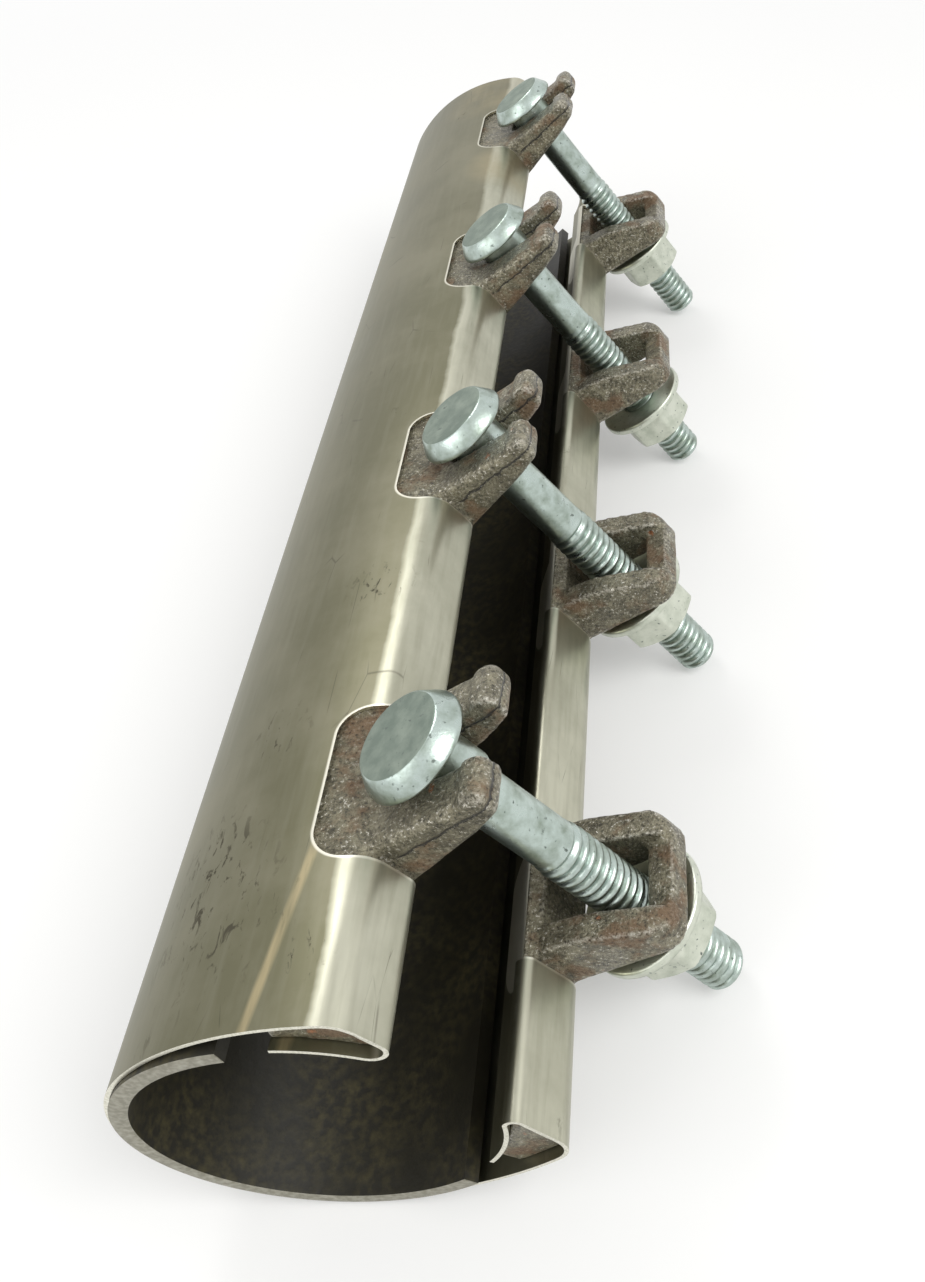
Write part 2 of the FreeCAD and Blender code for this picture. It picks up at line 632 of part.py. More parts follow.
def make_nut(index):
    """A heavy hexagon nut, chamfered at both ends."""
    body = new_body(f"nut_{index}")
    hexagon = new_sketch(body, f"nut_outline_{index}", "YZ_Plane")
    half = "Sizes.nut_flats / 2"
    corner = "Sizes.nut_flats / sqrt(3)"
    polygon(hexagon, [
        (half, f"-{corner} / 2", None),
        (half, f"{corner} / 2", None),
        ("0", corner, None),
        (f"-{half}", f"{corner} / 2", None),
        (f"-{half}", f"-{corner} / 2", None),
        ("0", f"-{corner}", None),
    ])
    pad(body, f"nut_block_{index}", hexagon, "Sizes.nut_height", False)
    bore = new_sketch(body, f"nut_bore_outline_{index}", "YZ_Plane")
    add_circle(bore, "Sizes.thread_radius + Sizes.nut_clearance", "bore")
    pocket(body, f"nut_bore_{index}", bore, f"{THROUGH} * Sizes.nut_height")
    bevel = new_sketch(body, f"nut_bevel_outline_{index}", "XZ_Plane")
    outside = f"{corner} + {CLEAR_OF_CORNER}"
    slope = f"({outside} - {half}) * Sizes.nut_chamfer / ({corner} - {half})"
    for near, far in (("0", slope), ("Sizes.nut_height", f"Sizes.nut_height - {slope}")):
        bevel_corner(bevel, near, far, half, outside)
    cut = body.newObject("PartDesign::Groove", f"nut_bevel_{index}")
    cut.Profile = bevel
    cut.ReferenceAxis = (bevel, ["H_Axis"])
    cut.Angle = 360
    doc.recompute()
    back_off = f"Sizes.nut_back_off_{index} + 2 * Sizes.washer_seat + Sizes.washer_thickness"
    lay_down(body, f"Sizes.loop_face_x + {back_off}", lug_place(index), bolt_height(index))
    return body


def bevel_corner(sketch, near, far, low, high):
    """A triangle that takes the corner off a turned end."""
    spots = [(near, low), (near, high), (far, high)]
    points = [Vector(number(across), number(up), 0) for across, up in spots]
    lines = [add_line(sketch, points[i], points[(i + 1) % 3]) for i in range(3)]
    for i, (across, up) in enumerate(spots):
        join(sketch, lines[i - 1], lines[i], "Coincident")
        bind(sketch, "DistanceX", (lines[i][0], 1), across, f"bevel_{lines[i][0]}_across")
        bind(sketch, "DistanceY", (lines[i][0], 1), up, f"bevel_{lines[i][0]}_up")


def check(pieces):
    """Stop before anything is written if a feature failed or a piece isn't one sound solid."""
    for item in doc.Objects:
        if "Invalid" in item.State or "Error" in item.State:
            raise RuntimeError(f"{item.Name} failed: {item.State}")
    for piece in pieces:
        shape = piece.Shape
        if shape.isNull() or not shape.isValid() or len(shape.Solids) != 1:
            raise RuntimeError(f"{piece.Label} is not one sound solid")


def main():
    pieces = [make_band(), make_gasket(), make_finger_bar(), make_loop_bar()]
    for index in range(1, int(number("Sizes.lug_count")) + 1):
        pieces += [make_bolt(index), make_washer(index), make_nut(index)]
    doc.recompute()
    check(pieces)
    for piece in pieces:
        piece.Shape.exportStep(f"parts/{piece.Label}.step")
        print(piece.Label, round(piece.Shape.Volume, 1), piece.Shape.BoundBox)
    print("laid down by", round(number(LAY), 3), "degrees")


main()
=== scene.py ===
import json
from math import atan2, ceil, cos, degrees, pi, radians, sin, sqrt, tan
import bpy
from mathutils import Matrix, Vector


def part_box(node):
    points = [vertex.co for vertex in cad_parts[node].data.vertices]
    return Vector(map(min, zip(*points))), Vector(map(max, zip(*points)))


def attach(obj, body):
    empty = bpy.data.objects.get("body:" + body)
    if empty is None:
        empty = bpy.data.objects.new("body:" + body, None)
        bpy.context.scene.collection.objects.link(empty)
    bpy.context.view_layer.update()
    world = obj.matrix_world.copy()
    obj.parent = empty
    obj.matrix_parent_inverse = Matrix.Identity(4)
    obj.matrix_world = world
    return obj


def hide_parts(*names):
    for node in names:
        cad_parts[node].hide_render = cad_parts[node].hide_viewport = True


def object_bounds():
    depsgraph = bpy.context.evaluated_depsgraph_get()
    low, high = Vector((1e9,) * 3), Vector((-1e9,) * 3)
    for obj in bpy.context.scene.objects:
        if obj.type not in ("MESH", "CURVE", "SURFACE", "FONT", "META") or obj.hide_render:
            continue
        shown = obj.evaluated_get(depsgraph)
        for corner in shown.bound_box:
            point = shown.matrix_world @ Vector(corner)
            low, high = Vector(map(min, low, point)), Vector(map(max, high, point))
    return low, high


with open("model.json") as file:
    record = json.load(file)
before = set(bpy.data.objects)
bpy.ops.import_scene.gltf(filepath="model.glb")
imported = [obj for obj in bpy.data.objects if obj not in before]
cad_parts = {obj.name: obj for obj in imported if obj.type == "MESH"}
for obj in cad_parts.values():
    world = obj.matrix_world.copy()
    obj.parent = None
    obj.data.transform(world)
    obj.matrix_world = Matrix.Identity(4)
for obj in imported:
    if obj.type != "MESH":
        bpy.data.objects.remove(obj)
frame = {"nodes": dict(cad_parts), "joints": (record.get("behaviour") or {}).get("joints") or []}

from types import SimpleNamespace

import bmesh
import bpy
from mathutils import Euler, Matrix, Vector, noise

# Pipe repair clamp, lying open on its side: satin stainless sheet band, black rubber gasket, two sand-cast
# iron bars with fingers and loops, and four zinc-plated bolts with washers and nuts.
# Sections are drawn in millimetres with the bolts level (x along the bolts, y along the pipe, z out of the
# gap) and then turned onto the floor with the same turn as the frame.

bl_info = {
    "name": "Pipe repair clamp",
    "version": (1, 1, 0),
    "blender": (4, 5, 0),
    "location": "View3D > Sidebar > Clamp",
    "description": "Builds an open pipe repair clamp with its band, gasket, bars and bolts",
    "category": "Add Mesh",
}

MM = 0.001
CAD_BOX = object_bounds()
JOINTS = {joint["name"]: joint for joint in frame["joints"]}
LUGS = (1, 2, 3, 4)

BOLT_WAY = Vector(JOINTS["washer_1_slide"]["axis"])
LAY = atan2(-BOLT_WAY.z, BOLT_WAY.x)
TO_FLOOR = Matrix.Rotation(LAY, 4, "Y")
FROM_FLOOR = TO_FLOOR.inverted()


def lug_y(lug):
    """Where a lug's bolt lies along the pipe, in millimetres."""
    return JOINTS[f"bolt_{lug}_swing"]["pos_m"][1] / MM


def bolt_z(lug):
    """How high a lug's bolt lies over the pipe's axis, in millimetres."""
    return (FROM_FLOOR @ Vector(JOINTS[f"nut_{lug}_spin"]["pos_m"])).z / MM


def lowest_x(node):
    """The smallest place along the bolts that a node reaches, in millimetres."""
    return min((FROM_FLOOR @ vertex.co).x for vertex in frame["nodes"][node].data.vertices) / MM


BAND_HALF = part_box("band_shell")[1].y / MM
GASKET_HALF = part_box("gasket")[1].y / MM


def linear(value):
    """A sRGB hex colour as linear red, green, blue and alpha."""
    channels = [int(value[i:i + 2], 16) / 255 for i in (1, 3, 5)]
    return [c / 12.92 if c <= 0.04045 else ((c + 0.055) / 1.055) ** 2.4 for c in channels] + [1.0]


def length(name, about, default):
    """A property for a real size, given in millimetres."""
    return bpy.props.FloatProperty(name=name, description=about, default=default * MM, min=0.0, unit="LENGTH",
                                   precision=5)


def angle(name, about, default):
    """A property for an angle, given in degrees."""
    turn = radians(default)
    return bpy.props.FloatProperty(name=name, description=about, default=turn, subtype="ANGLE")


def colour(name, about, default):
    """A property for a finish's colour, given as sRGB hex."""
    return bpy.props.FloatVectorProperty(name=name, description=about, default=linear(default), size=4,
                                         min=0.0, max=1.0, subtype="COLOR")


def drawn(group):
    """A group's sizes as they are drawn: lengths in millimetres and angles in degrees."""
    sizes = {}
    for name, kind in group.bl_rna.properties.items():
        if kind.type == "FLOAT":
            value = getattr(group, name)
            sizes[name] = value / MM if kind.unit == "LENGTH" else degrees(value)
    return SimpleNamespace(**sizes)


class ClampSheet(bpy.types.PropertyGroup):
    """Sizes of the sheet band and of the gasket in it."""
    bore: length("Pipe radius", "Radius of the wrapped pipe", 44.45)
    gasket: length("Gasket thickness", "Thickness of the rubber", 4.6)
    seat: length("Gasket seat", "Gap from rubber to sheet", 0.1)
    sheet: length("Sheet thickness", "Thickness of the sheet", 1.2)
    tail_gap: length("Tail clearance", "Gap from tails to pipe", 0.55)
    left_bend: length("Left bend", "Outer radius of the fold along the gap", 4.6)
    left_fold: angle("Left fold", "Angle of the fold above the bolts' level", 58.8)
    left_tail: angle("Left tail", "Angle where the tail ends", 33.0)
    left_shoulder: length("Left shoulder", "Outer radius of the shoulder", 9.0)
    left_flank: length("Left flank", "Outer radius of the flank", 70.0)
    left_start: angle("Left flank start", "Where the flank leaves the ring", 20.0)
    right_bend: length("Right bend", "Outer radius of the fold along the gap", 3.0)
    right_fold: angle("Right fold", "Angle of the fold above the bolts' level", 57.8)
    right_tail: angle("Right tail", "Angle where the tail ends", 26.0)
    right_shoulder: length("Right shoulder", "Outer radius of the shoulder", 10.0)
    right_flank: length("Right flank", "Outer radius of the flank", 100.0)
    right_start: angle("Right flank start", "Where the flank leaves the ring", 15.0)
    gasket_left: angle("Gasket's left end", "Where the rubber ends on the left", 20.0)
    gasket_right: angle("Gasket's right end", "Where the rubber ends on the right", 11.0)
    gasket_round: length("Gasket's edge", "Rounding of the rubber's sliced ends", 0.7)


class ClampNotch(bpy.types.PropertyGroup):
    """Sizes of the notches in the folds."""
    lift: length("Lift", "How far the cut stays off the tail", 0.3)
    corner: length("Corner", "Radius of the notches' corners", 8.0)
    mouth: length("Mouth", "How far the cut starts inside the gap", 22.0)
    tall: length("Tall", "How far the cut reaches out of the fold", 34.0)
    left_lean: angle("Left lean", "Lean of the cut", 37.0)
    left_reach: length("Left reach", "How far the notch goes down the flank", 17.0)
    left_half: length("Left half width", "Half the width of a notch", 22.0)
    right_lean: angle("Right lean", "Lean of the cut", 40.0)
    right_reach: length("Right reach", "How far the notch goes down the flank", 17.5)
    right_half: length("Right half width", "Half the width of a notch", 20.5)


class ClampBolt(bpy.types.PropertyGroup):
    """Sizes of the bolts, washers and nuts."""
    total: length("Length", "Length under the head", 137.0)
    head: length("Head radius", "Radius of the round head", 15.5)
    head_flat: length("Head flat", "Radius of the head's flat top", 12.3)
    head_high: length("Head thickness", "Thickness of the head", 6.3)
    head_rim: length("Head rim", "Height of the upright rim", 1.3)
    neck: length("Neck length", "Length of the oval neck", 20.0)
    neck_width: length("Neck width", "Width of the oval neck", 14.6)
    neck_depth: length("Neck depth", "Depth of the oval neck", 19.0)
    shank: length("Shank radius", "Radius of the plain shank", 7.2)
    thread: length("Thread radius", "Outer radius of the thread", 7.9)
    thread_run: length("Thread length", "Length of the thread", 86.0)
    pitch: length("Thread pitch", "From one thread to the next", 3.175)
    tip: length("Tip chamfer", "Length of the tip's taper", 1.6)
    washer: length("Washer radius", "Outer radius of a washer", 20.0)
    washer_hole: length("Washer hole", "Radius of a washer's hole", 8.75)
    washer_thick: length("Washer thickness", "Thickness of a washer", 3.0)
    flats: length("Nut flats", "Width of a nut across its flats", 27.0)
    nut_high: length("Nut height", "Height of a nut", 15.0)
    nut_bore: length("Nut bore", "Gap from bore to thread", 0.05)
    nut_sunk: length("Nut countersink", "Depth of the countersink", 1.2)


class ClampFinish(bpy.types.PropertyGroup):
    """Colours of the finishes."""
    # the sheet's colour, left bright on the folds above the painted shade of the flanks
    steel: colour("Stainless", "Satin sheet where the folds are rubbed", "#BEBDAB")
    steel_shade: colour("Stainless shade", "Soft clouds on the bright sheet", "#A8A795")
    # painted shade: the darker olive painted on the flanks, with paler patches at random
    painted_flank_shade: colour("Painted flank shade", "Dull olive film on the sheet's flanks", "#6F6D58")
    painted_flank_shade_pale: colour("Worn film", "Where the film has worn thin", "#827F6C")
    streak: colour("Streaks", "Rolling streaks of the sheet", "#858371")
    # straw colour of the stains near the far end and of the painted highlight along the crease
    stain_and_crease_highlight: colour("Heat tint", "Straw tint along the crease", "#B3A582")
    scuff: colour("Scuffs", "Dark handling marks", "#4B473C")
    # the bright sheared edge, also painted on the sheet round the notches as a painted highlight
    steel_cut_and_rim_highlight: colour("Cut edge", "Bright sheared edge of the sheet", "#E4E1D3")
    rubber: colour("Rubber", "Black gasket rubber", "#1D1B11")
    rubber_dust: colour("Rubber dust", "Dust on the rubber", "#4A4429")
    rubber_cut: colour("Rubber end", "Paler sliced end of the gasket", "#7F7C6D")
    rubber_cut_pale: colour("Pale rubber end", "Dusty parts of the gasket's end", "#A5A294")
    iron: colour("Cast iron", "Dark sand-cast iron", "#57523F")
    iron_light: colour("Cast iron bloom", "Grey bloom on the casting", "#8E8870")
    # pale colour of worn edges, also painted on sand grains as glints and on the edges as a highlight
    iron_worn_and_glint: colour("Worn iron", "Edges and grains rubbed pale", "#CDC9BE")
    pit: colour("Pits", "Dirt in the casting's pits", "#5A554C")
    seam: colour("Parting line", "Dirt in the casting's parting line", "#161412")
    rust: colour("Rust", "Brown-red rust on the casting", "#775B42")
    rust_bright: colour("Fresh rust", "Orange rust spots", "#A8612F")
    zinc: colour("Zinc", "Blue-white zinc plate of the bolts", "#B9C6C0")
    zinc_dull: colour("Dull zinc", "Dull grey-green zinc", "#8F9B8F")
    zinc_spot: colour("Zinc spots", "Dark specks in the plating", "#6D7670")
    zinc_nut: colour("Zinc of nuts", "Yellow-white zinc of nuts and washers", "#D2D6C8")
    zinc_nut_dull: colour("Dull zinc of nuts", "Greyer parts of the nuts and washers", "#B8BEAF")
    zinc_head: colour("Zinc of heads", "Matt grey-green zinc of the forged flats", "#78847A")
    zinc_head_pale: colour("Pale zinc of heads", "Rubbed parts of the forged flats", "#929C91")
    floor: colour("Floor", "Pale studio floor", "#F4F4F2")
    floor_pale: colour("Pale floor", "Paler parts of the studio floor", "#F6F6F4")


def add_node(tree, kind, inputs=None, **settings):
    """Add a node, set its settings, and set or link its inputs: a socket links, anything else is a value."""
    made = tree.nodes.new(kind)
    for name, value in settings.items():
        setattr(made, name, value)
    for name, value in (inputs or {}).items():
        if isinstance(value, bpy.types.NodeSocket):
            tree.links.new(value, made.inputs[name])
        else:
            made.inputs[name].default_value = value
    return made


def start_material(name):
    """A node material with the object's own coordinates and a principled shader. The functions below find
    the node tree through the sockets that they are given."""
    material = bpy.data.materials.new(name)
    material.use_nodes = True
    tree = material.node_tree
    tree.nodes.clear()
    where = add_node(tree, "ShaderNodeTexCoord").outputs["Object"]
    shader = add_node(tree, "ShaderNodeBsdfPrincipled")
    add_node(tree, "ShaderNodeOutputMaterial", {"Surface": shader.outputs["BSDF"]})
    return material, where, shader


def link_all(shader, sockets):
    """Link results to the shader's inputs by their names."""
    for name, socket in sockets.items():
        shader.id_data.links.new(socket, shader.inputs[name])


def per_metre(size_mm):
    """The noise scale whose features have a real size in millimetres."""
    return 1.0 / (size_mm * MM)


def noise_of(where, size_mm, detail=4.0, roughness=0.5, distortion=0.0):
    """Noise whose largest features have a real size in millimetres."""
    inputs = {"Vector": where, "Scale": per_metre(size_mm), "Detail": detail, "Roughness": roughness,
              "Distortion": distortion}
    return add_node(where.id_data, "ShaderNodeTexNoise", inputs).outputs["Fac"]


def between(value, low, high, first=0.0, second=1.0):
    """Carry a value from one range to another and hold it there."""
    inputs = {"Value": value, "From Min": low, "From Max": high, "To Min": first, "To Max": second}
    return add_node(value.id_data, "ShaderNodeMapRange", inputs).outputs[0]


def span(value, ends_mm, first=0.0, second=1.0):
    """The same for a range that is given in millimetres."""
    return between(value, ends_mm[0] * MM, ends_mm[1] * MM, first, second)


def maths(operation, *values):
    """The result of a sum on values of which the first is a socket."""
    tree = values[0].id_data
    return add_node(tree, "ShaderNodeMath", dict(enumerate(values)), operation=operation).outputs[0]


def times(first, second):
    """The product of two values."""
    return maths("MULTIPLY", first, second)


def plus(first, second):
    """The sum of two values."""
    return maths("ADD", first, second)


def mix(factor, first, second, blend="MIX"):
    """A colour mix; the factor is a socket, and each other input is a socket or a colour."""
    inputs = {"Factor": factor, 6: first, 7: second}
    return add_node(factor.id_data, "ShaderNodeMix", inputs, data_type="RGBA", blend_type=blend).outputs[2]


def bumped(height, depth_mm, strength=1.0, under=None):
    """A bump of a real depth in millimetres, on top of another one if given."""
    inputs = {"Height": height, "Strength": strength, "Distance": depth_mm * MM}
    if under is not None:
        inputs["Normal"] = under
    return add_node(height.id_data, "ShaderNodeBump", inputs).outputs[0]


def in_section(where):
    """Coordinates along the bolts, along the pipe and out of the gap."""
    inputs = {"Vector": where, "Rotation": (0, -LAY, 0)}
    return add_node(where.id_data, "ShaderNodeMapping", inputs).outputs[0]


def split(vector):
    """The three values of a vector."""
    return add_node(vector.id_data, "ShaderNodeSeparateXYZ", {"Vector": vector}).outputs


def stretched(section, scale):
    """Section coordinates stretched along their axes."""
    return add_node(section.id_data, "ShaderNodeMapping", {"Vector": section, "Scale": scale}).outputs[0]


def length_of(vector):
    """The length of a vector."""
    return add_node(vector.id_data, "ShaderNodeVectorMath", {0: vector}, operation="LENGTH").outputs["Value"]


SPOT_CORE = 0.3


def near(section, centre_mm, reach_mm):
    """One in the core of a round spot in the section's coordinates, fading to nothing at its reach."""
    centre = tuple(value * MM for value in centre_mm)
    apart = add_node(section.id_data, "ShaderNodeVectorMath", {0: section, 1: centre}, operation="DISTANCE")
    return span(apart.outputs["Value"], (reach_mm, SPOT_CORE * reach_mm))


SCUFFS = (
    # place on the band in millimetres (along the bolts, along the pipe, out of the gap) and reach
    ((-51.4, -224.0, 11.6), 26.0),
    ((-51.5, -206.0, 4.3), 18.0),
    ((-45.5, -122.0, 35.2), 12.0),
    ((-51.0, -172.0, 15.3), 12.0),
    ((-44.5, -236.0, 36.5), 9.0),
)
STAINS = (
    # straw stains near the far end: place in millimetres as above, and reach
    ((-44.0, 240.0, 36.0), 34.0),
    ((-30.0, 150.0, 46.0), 26.0),
)
# heights in millimetres where the bright folds give way to the painted flank shade, and how far that wanders
FLANK_SHADE_EDGE = (45.0, 43.2)
FLANK_SHADE_WANDER = 6.0
# the crease with its painted highlight: place along the pipe and height of its two ends, its width from faint
# to full, where it fades out at its upper end, and where across the clamp it starts
CREASE_LOW = (-248.0, 28.4)
CREASE_HIGH = (-208.0, 34.6)
CREASE_WIDTH = (1.6, 0.5)
CREASE_END = (-204.0, -212.0)
CREASE_SIDE = (-30.0, -34.0)
# the painted highlight round a notch's rim: its width, and the heights between which it starts
RIM_HIGHLIGHT = 0.8
RIM_HIGHLIGHT_FOOT = (10.0, 12.0)
RIM_SHINE = 0.7


def notch_side(notch, side):
    """A side's hand, the lean of its cut in radians, and its reach and half width in millimetres."""
    hand = -1 if side == "left" else 1
    lean = radians(hand * getattr(notch, f"{side}_lean"))
    return hand, lean, getattr(notch, f"{side}_reach"), getattr(notch, f"{side}_half")


def notch_rim_highlight(place, notch, side):
    """One along a notch's edge on the sheet, where a highlight is painted: the cut's rounded outline, worked
    out in its leaning plane.
    """
    hand, lean, reach, half = notch_side(notch, side)
    x, y, z = place
    down = maths("MULTIPLY_ADD", z, -hand * sin(lean), times(x, hand * cos(lean)))
    pitch = (lug_y(2) - lug_y(1)) * MM
    along = maths("WRAP", maths("SUBTRACT", y, lug_y(1) * MM), pitch / 2, -pitch / 2)
    beside = maths("ABSOLUTE", along)
    past = {}
    for axis, value, flat in (("X", down, reach - notch.corner), ("Y", beside, half - notch.corner)):
        past[axis] = maths("MAXIMUM", maths("SUBTRACT", value, flat * MM), 0.0)
    away = length_of(add_node(x.id_data, "ShaderNodeCombineXYZ", past).outputs[0])
    return span(away, (notch.corner + RIM_HIGHLIGHT, notch.corner + RIM_HIGHLIGHT / 2))


def painted_crease_highlight(place, rolled):
    """The share of the painted highlight along the crease, in straw, broken up by the rolling streaks."""
    x, y, z = place
    slope = (CREASE_HIGH[1] - CREASE_LOW[1]) / (CREASE_HIGH[0] - CREASE_LOW[0])
    level = (CREASE_LOW[1] - slope * CREASE_LOW[0]) * MM
    along = maths("MULTIPLY_ADD", y, -slope, z)
    off = maths("ABSOLUTE", maths("SUBTRACT", along, level))
    stain_and_crease_highlight = times(span(off, CREASE_WIDTH), span(y, CREASE_END))
    stain_and_crease_highlight = times(stain_and_crease_highlight, span(x, CREASE_SIDE))
    return times(stain_and_crease_highlight, between(rolled, 0.35, 0.65, 0.3, 0.75))


def stainless_sheet(finish, notch):
    """Cold-rolled stainless sheet, 2B mill finish: a warm satin, left bright on the folds and given painted
    shade in a darker olive on the flanks, with rolling streaks along the pipe, handling scuffs, fine
    scratches, a painted highlight in straw along the crease at the near end and painted highlights round the
    notches."""
    material, where, shader = start_material("stainless_2b")
    tree = material.node_tree
    section = in_section(where)
    place = split(section)
    x, _, z = place
    cloud = noise_of(where, 45, detail=5.0, roughness=0.62)
    # painted shade: below the folds the flanks are painted a darker olive, standing in for the darker
    # reflections there
    uneven = maths("MULTIPLY_ADD", cloud, FLANK_SHADE_WANDER * MM, z)
    painted_flank_shade = span(uneven, FLANK_SHADE_EDGE)
    bright = mix(between(cloud, 0.42, 0.66), finish.steel, finish.steel_shade)
    dull = mix(between(cloud, 0.40, 0.66), finish.painted_flank_shade, finish.painted_flank_shade_pale)
    base = mix(painted_flank_shade, bright, dull)
    rolled = noise_of(stretched(section, (1.0, 0.10, 1.0)), 2.6)
    base = mix(between(rolled, 0.45, 0.75, 0.0, 0.35), base, finish.streak)
    # painted highlight in straw along the crease at the near end
    base = mix(painted_crease_highlight(place, rolled), base, finish.stain_and_crease_highlight)
    for centre, reach in STAINS:
        stain = times(near(section, centre, reach), between(cloud, 0.35, 0.65, 0.1, 0.6))
        base = mix(stain, base, finish.stain_and_crease_highlight)
    grain_at = stretched(section, (1.0, 0.45, 1.0))
    grain = noise_of(grain_at, 2.4, detail=6.0, roughness=0.6, distortion=0.8)
    handled = noise_of(where, 30, detail=2.0, distortion=0.6)
    patch = between(handled, 0.66, 0.74, 0.0, 0.5)
    for centre, reach in SCUFFS:
        patch = plus(patch, near(section, centre, reach))
    scuff = times(patch, between(grain, 0.57, 0.65))
    base = mix(between(scuff, 0.0, 1.0, 0.0, 0.85), base, finish.scuff)
    cells = {"Vector": stretched(section, (1.0, 0.16, 0.55)), "Scale": per_metre(9)}
    scratch = add_node(tree, "ShaderNodeTexVoronoi", cells, feature="DISTANCE_TO_EDGE").outputs["Distance"]
    few = between(noise_of(where, 17, detail=2.0), 0.58, 0.66)
    scratched = times(between(scratch, 0.010, 0.0), few)
    base = mix(times(scratched, 0.6), base, finish.scuff)
    # painted highlight: the cut edge's bright colour painted on the sheet along each notch's rim
    left, right = (notch_rim_highlight(place, notch, side) for side in ("left", "right"))
    on_left = span(x, (1, -1))
    rim = add_node(tree, "ShaderNodeMix", {"Factor": on_left, "A": right, "B": left}).outputs["Result"]
    rim = times(rim, span(z, RIM_HIGHLIGHT_FOOT, 0.0, RIM_SHINE))
    base = mix(rim, base, finish.steel_cut_and_rim_highlight)
    shader.inputs["Metallic"].default_value = 1.0
    rough = plus(between(cloud, 0.3, 0.7, 0.30, 0.40), times(painted_flank_shade, 0.08))
    rough = plus(rough, times(scuff, 0.25))
    waves = noise_of(stretched(section, (1.0, 0.4, 1.0)), 38, detail=1.0)
    skin = bumped(rolled, 0.10, 0.20, bumped(waves, 1.0, 0.45))
    link_all(shader, {"Base Color": base, "Roughness": rough, "Normal": skin})
    return material


def sheared_edge(finish):
    """Stainless sheet where the shears cut it: a narrow bright edge with fine grit that glints."""
    material, where, shader = start_material("stainless_sheared")
    grit = noise_of(where, 0.6, detail=3.0)
    base = mix(between(grit, 0.4, 0.7), finish.steel_cut_and_rim_highlight, finish.steel)
    shader.inputs["Metallic"].default_value = 1.0
    link_all(shader, {"Base Color": base, "Roughness": between(grit, 0.0, 1.0, 0.18, 0.42)})
    return material


def gasket_rubber(finish):
    """Moulded nitrile rubber: nearly black and matt, with a faint olive dust in its fine grain."""
    material, where, shader = start_material("nitrile_rubber")
    speck = noise_of(where, 2.5, detail=5.0)
    haze = noise_of(where, 30, detail=3.0)
    dusty = times(between(speck, 0.4, 0.8), between(haze, 0.35, 0.65))
    base = mix(dusty, finish.rubber, finish.rubber_dust)
    rough = between(haze, 0.3, 0.7, 0.48, 0.62)
    skin = bumped(speck, 0.3, 0.4)
    link_all(shader, {"Base Color": base, "Roughness": rough, "Normal": skin})
    return material


def sliced_rubber(finish):
    """Nitrile rubber where the knife sliced it: paler, dull and dusty, with a fine torn grain."""
    material, where, shader = start_material("nitrile_sliced")
    speck = noise_of(where, 1.8, detail=5.0)
    base = mix(between(speck, 0.4, 0.75), finish.rubber_cut, finish.rubber_cut_pale)
    shader.inputs["Roughness"].default_value = 0.62
    link_all(shader, {"Base Color": base, "Normal": bumped(speck, 0.3, 0.4)})
    return material


# the parting line down the fingers: place and height in millimetres where it starts, its lean, how far it
# wanders, its width from faint to full, the rise over which it comes in, and its strength and depth
SEAM_FOOT = (-32.2, 47.8)
SEAM_LEAN = 0.115
SEAM_WANDER = 4.0
SEAM_WIDTH = (0.5, 0.15)
SEAM_RISE = 2.0
SEAM_DIRT = 0.85
SEAM_DEPTH = 1.2


def parting_line(where, wander):
    """One along the ragged line where the two halves of the fingers' mould met."""
    x, _, z = split(in_section(where))
    lean = maths("MULTIPLY_ADD", z, SEAM_LEAN, x)
    ragged = maths("MULTIPLY_ADD", wander, SEAM_WANDER * MM, lean)
    line = (SEAM_FOOT[0] + SEAM_LEAN * SEAM_FOOT[1] + SEAM_WANDER / 2) * MM
    apart = maths("ABSOLUTE", maths("SUBTRACT", ragged, line))
    above = span(z, (SEAM_FOOT[1], SEAM_FOOT[1] + SEAM_RISE))
    return times(span(apart, SEAM_WIDTH), above)


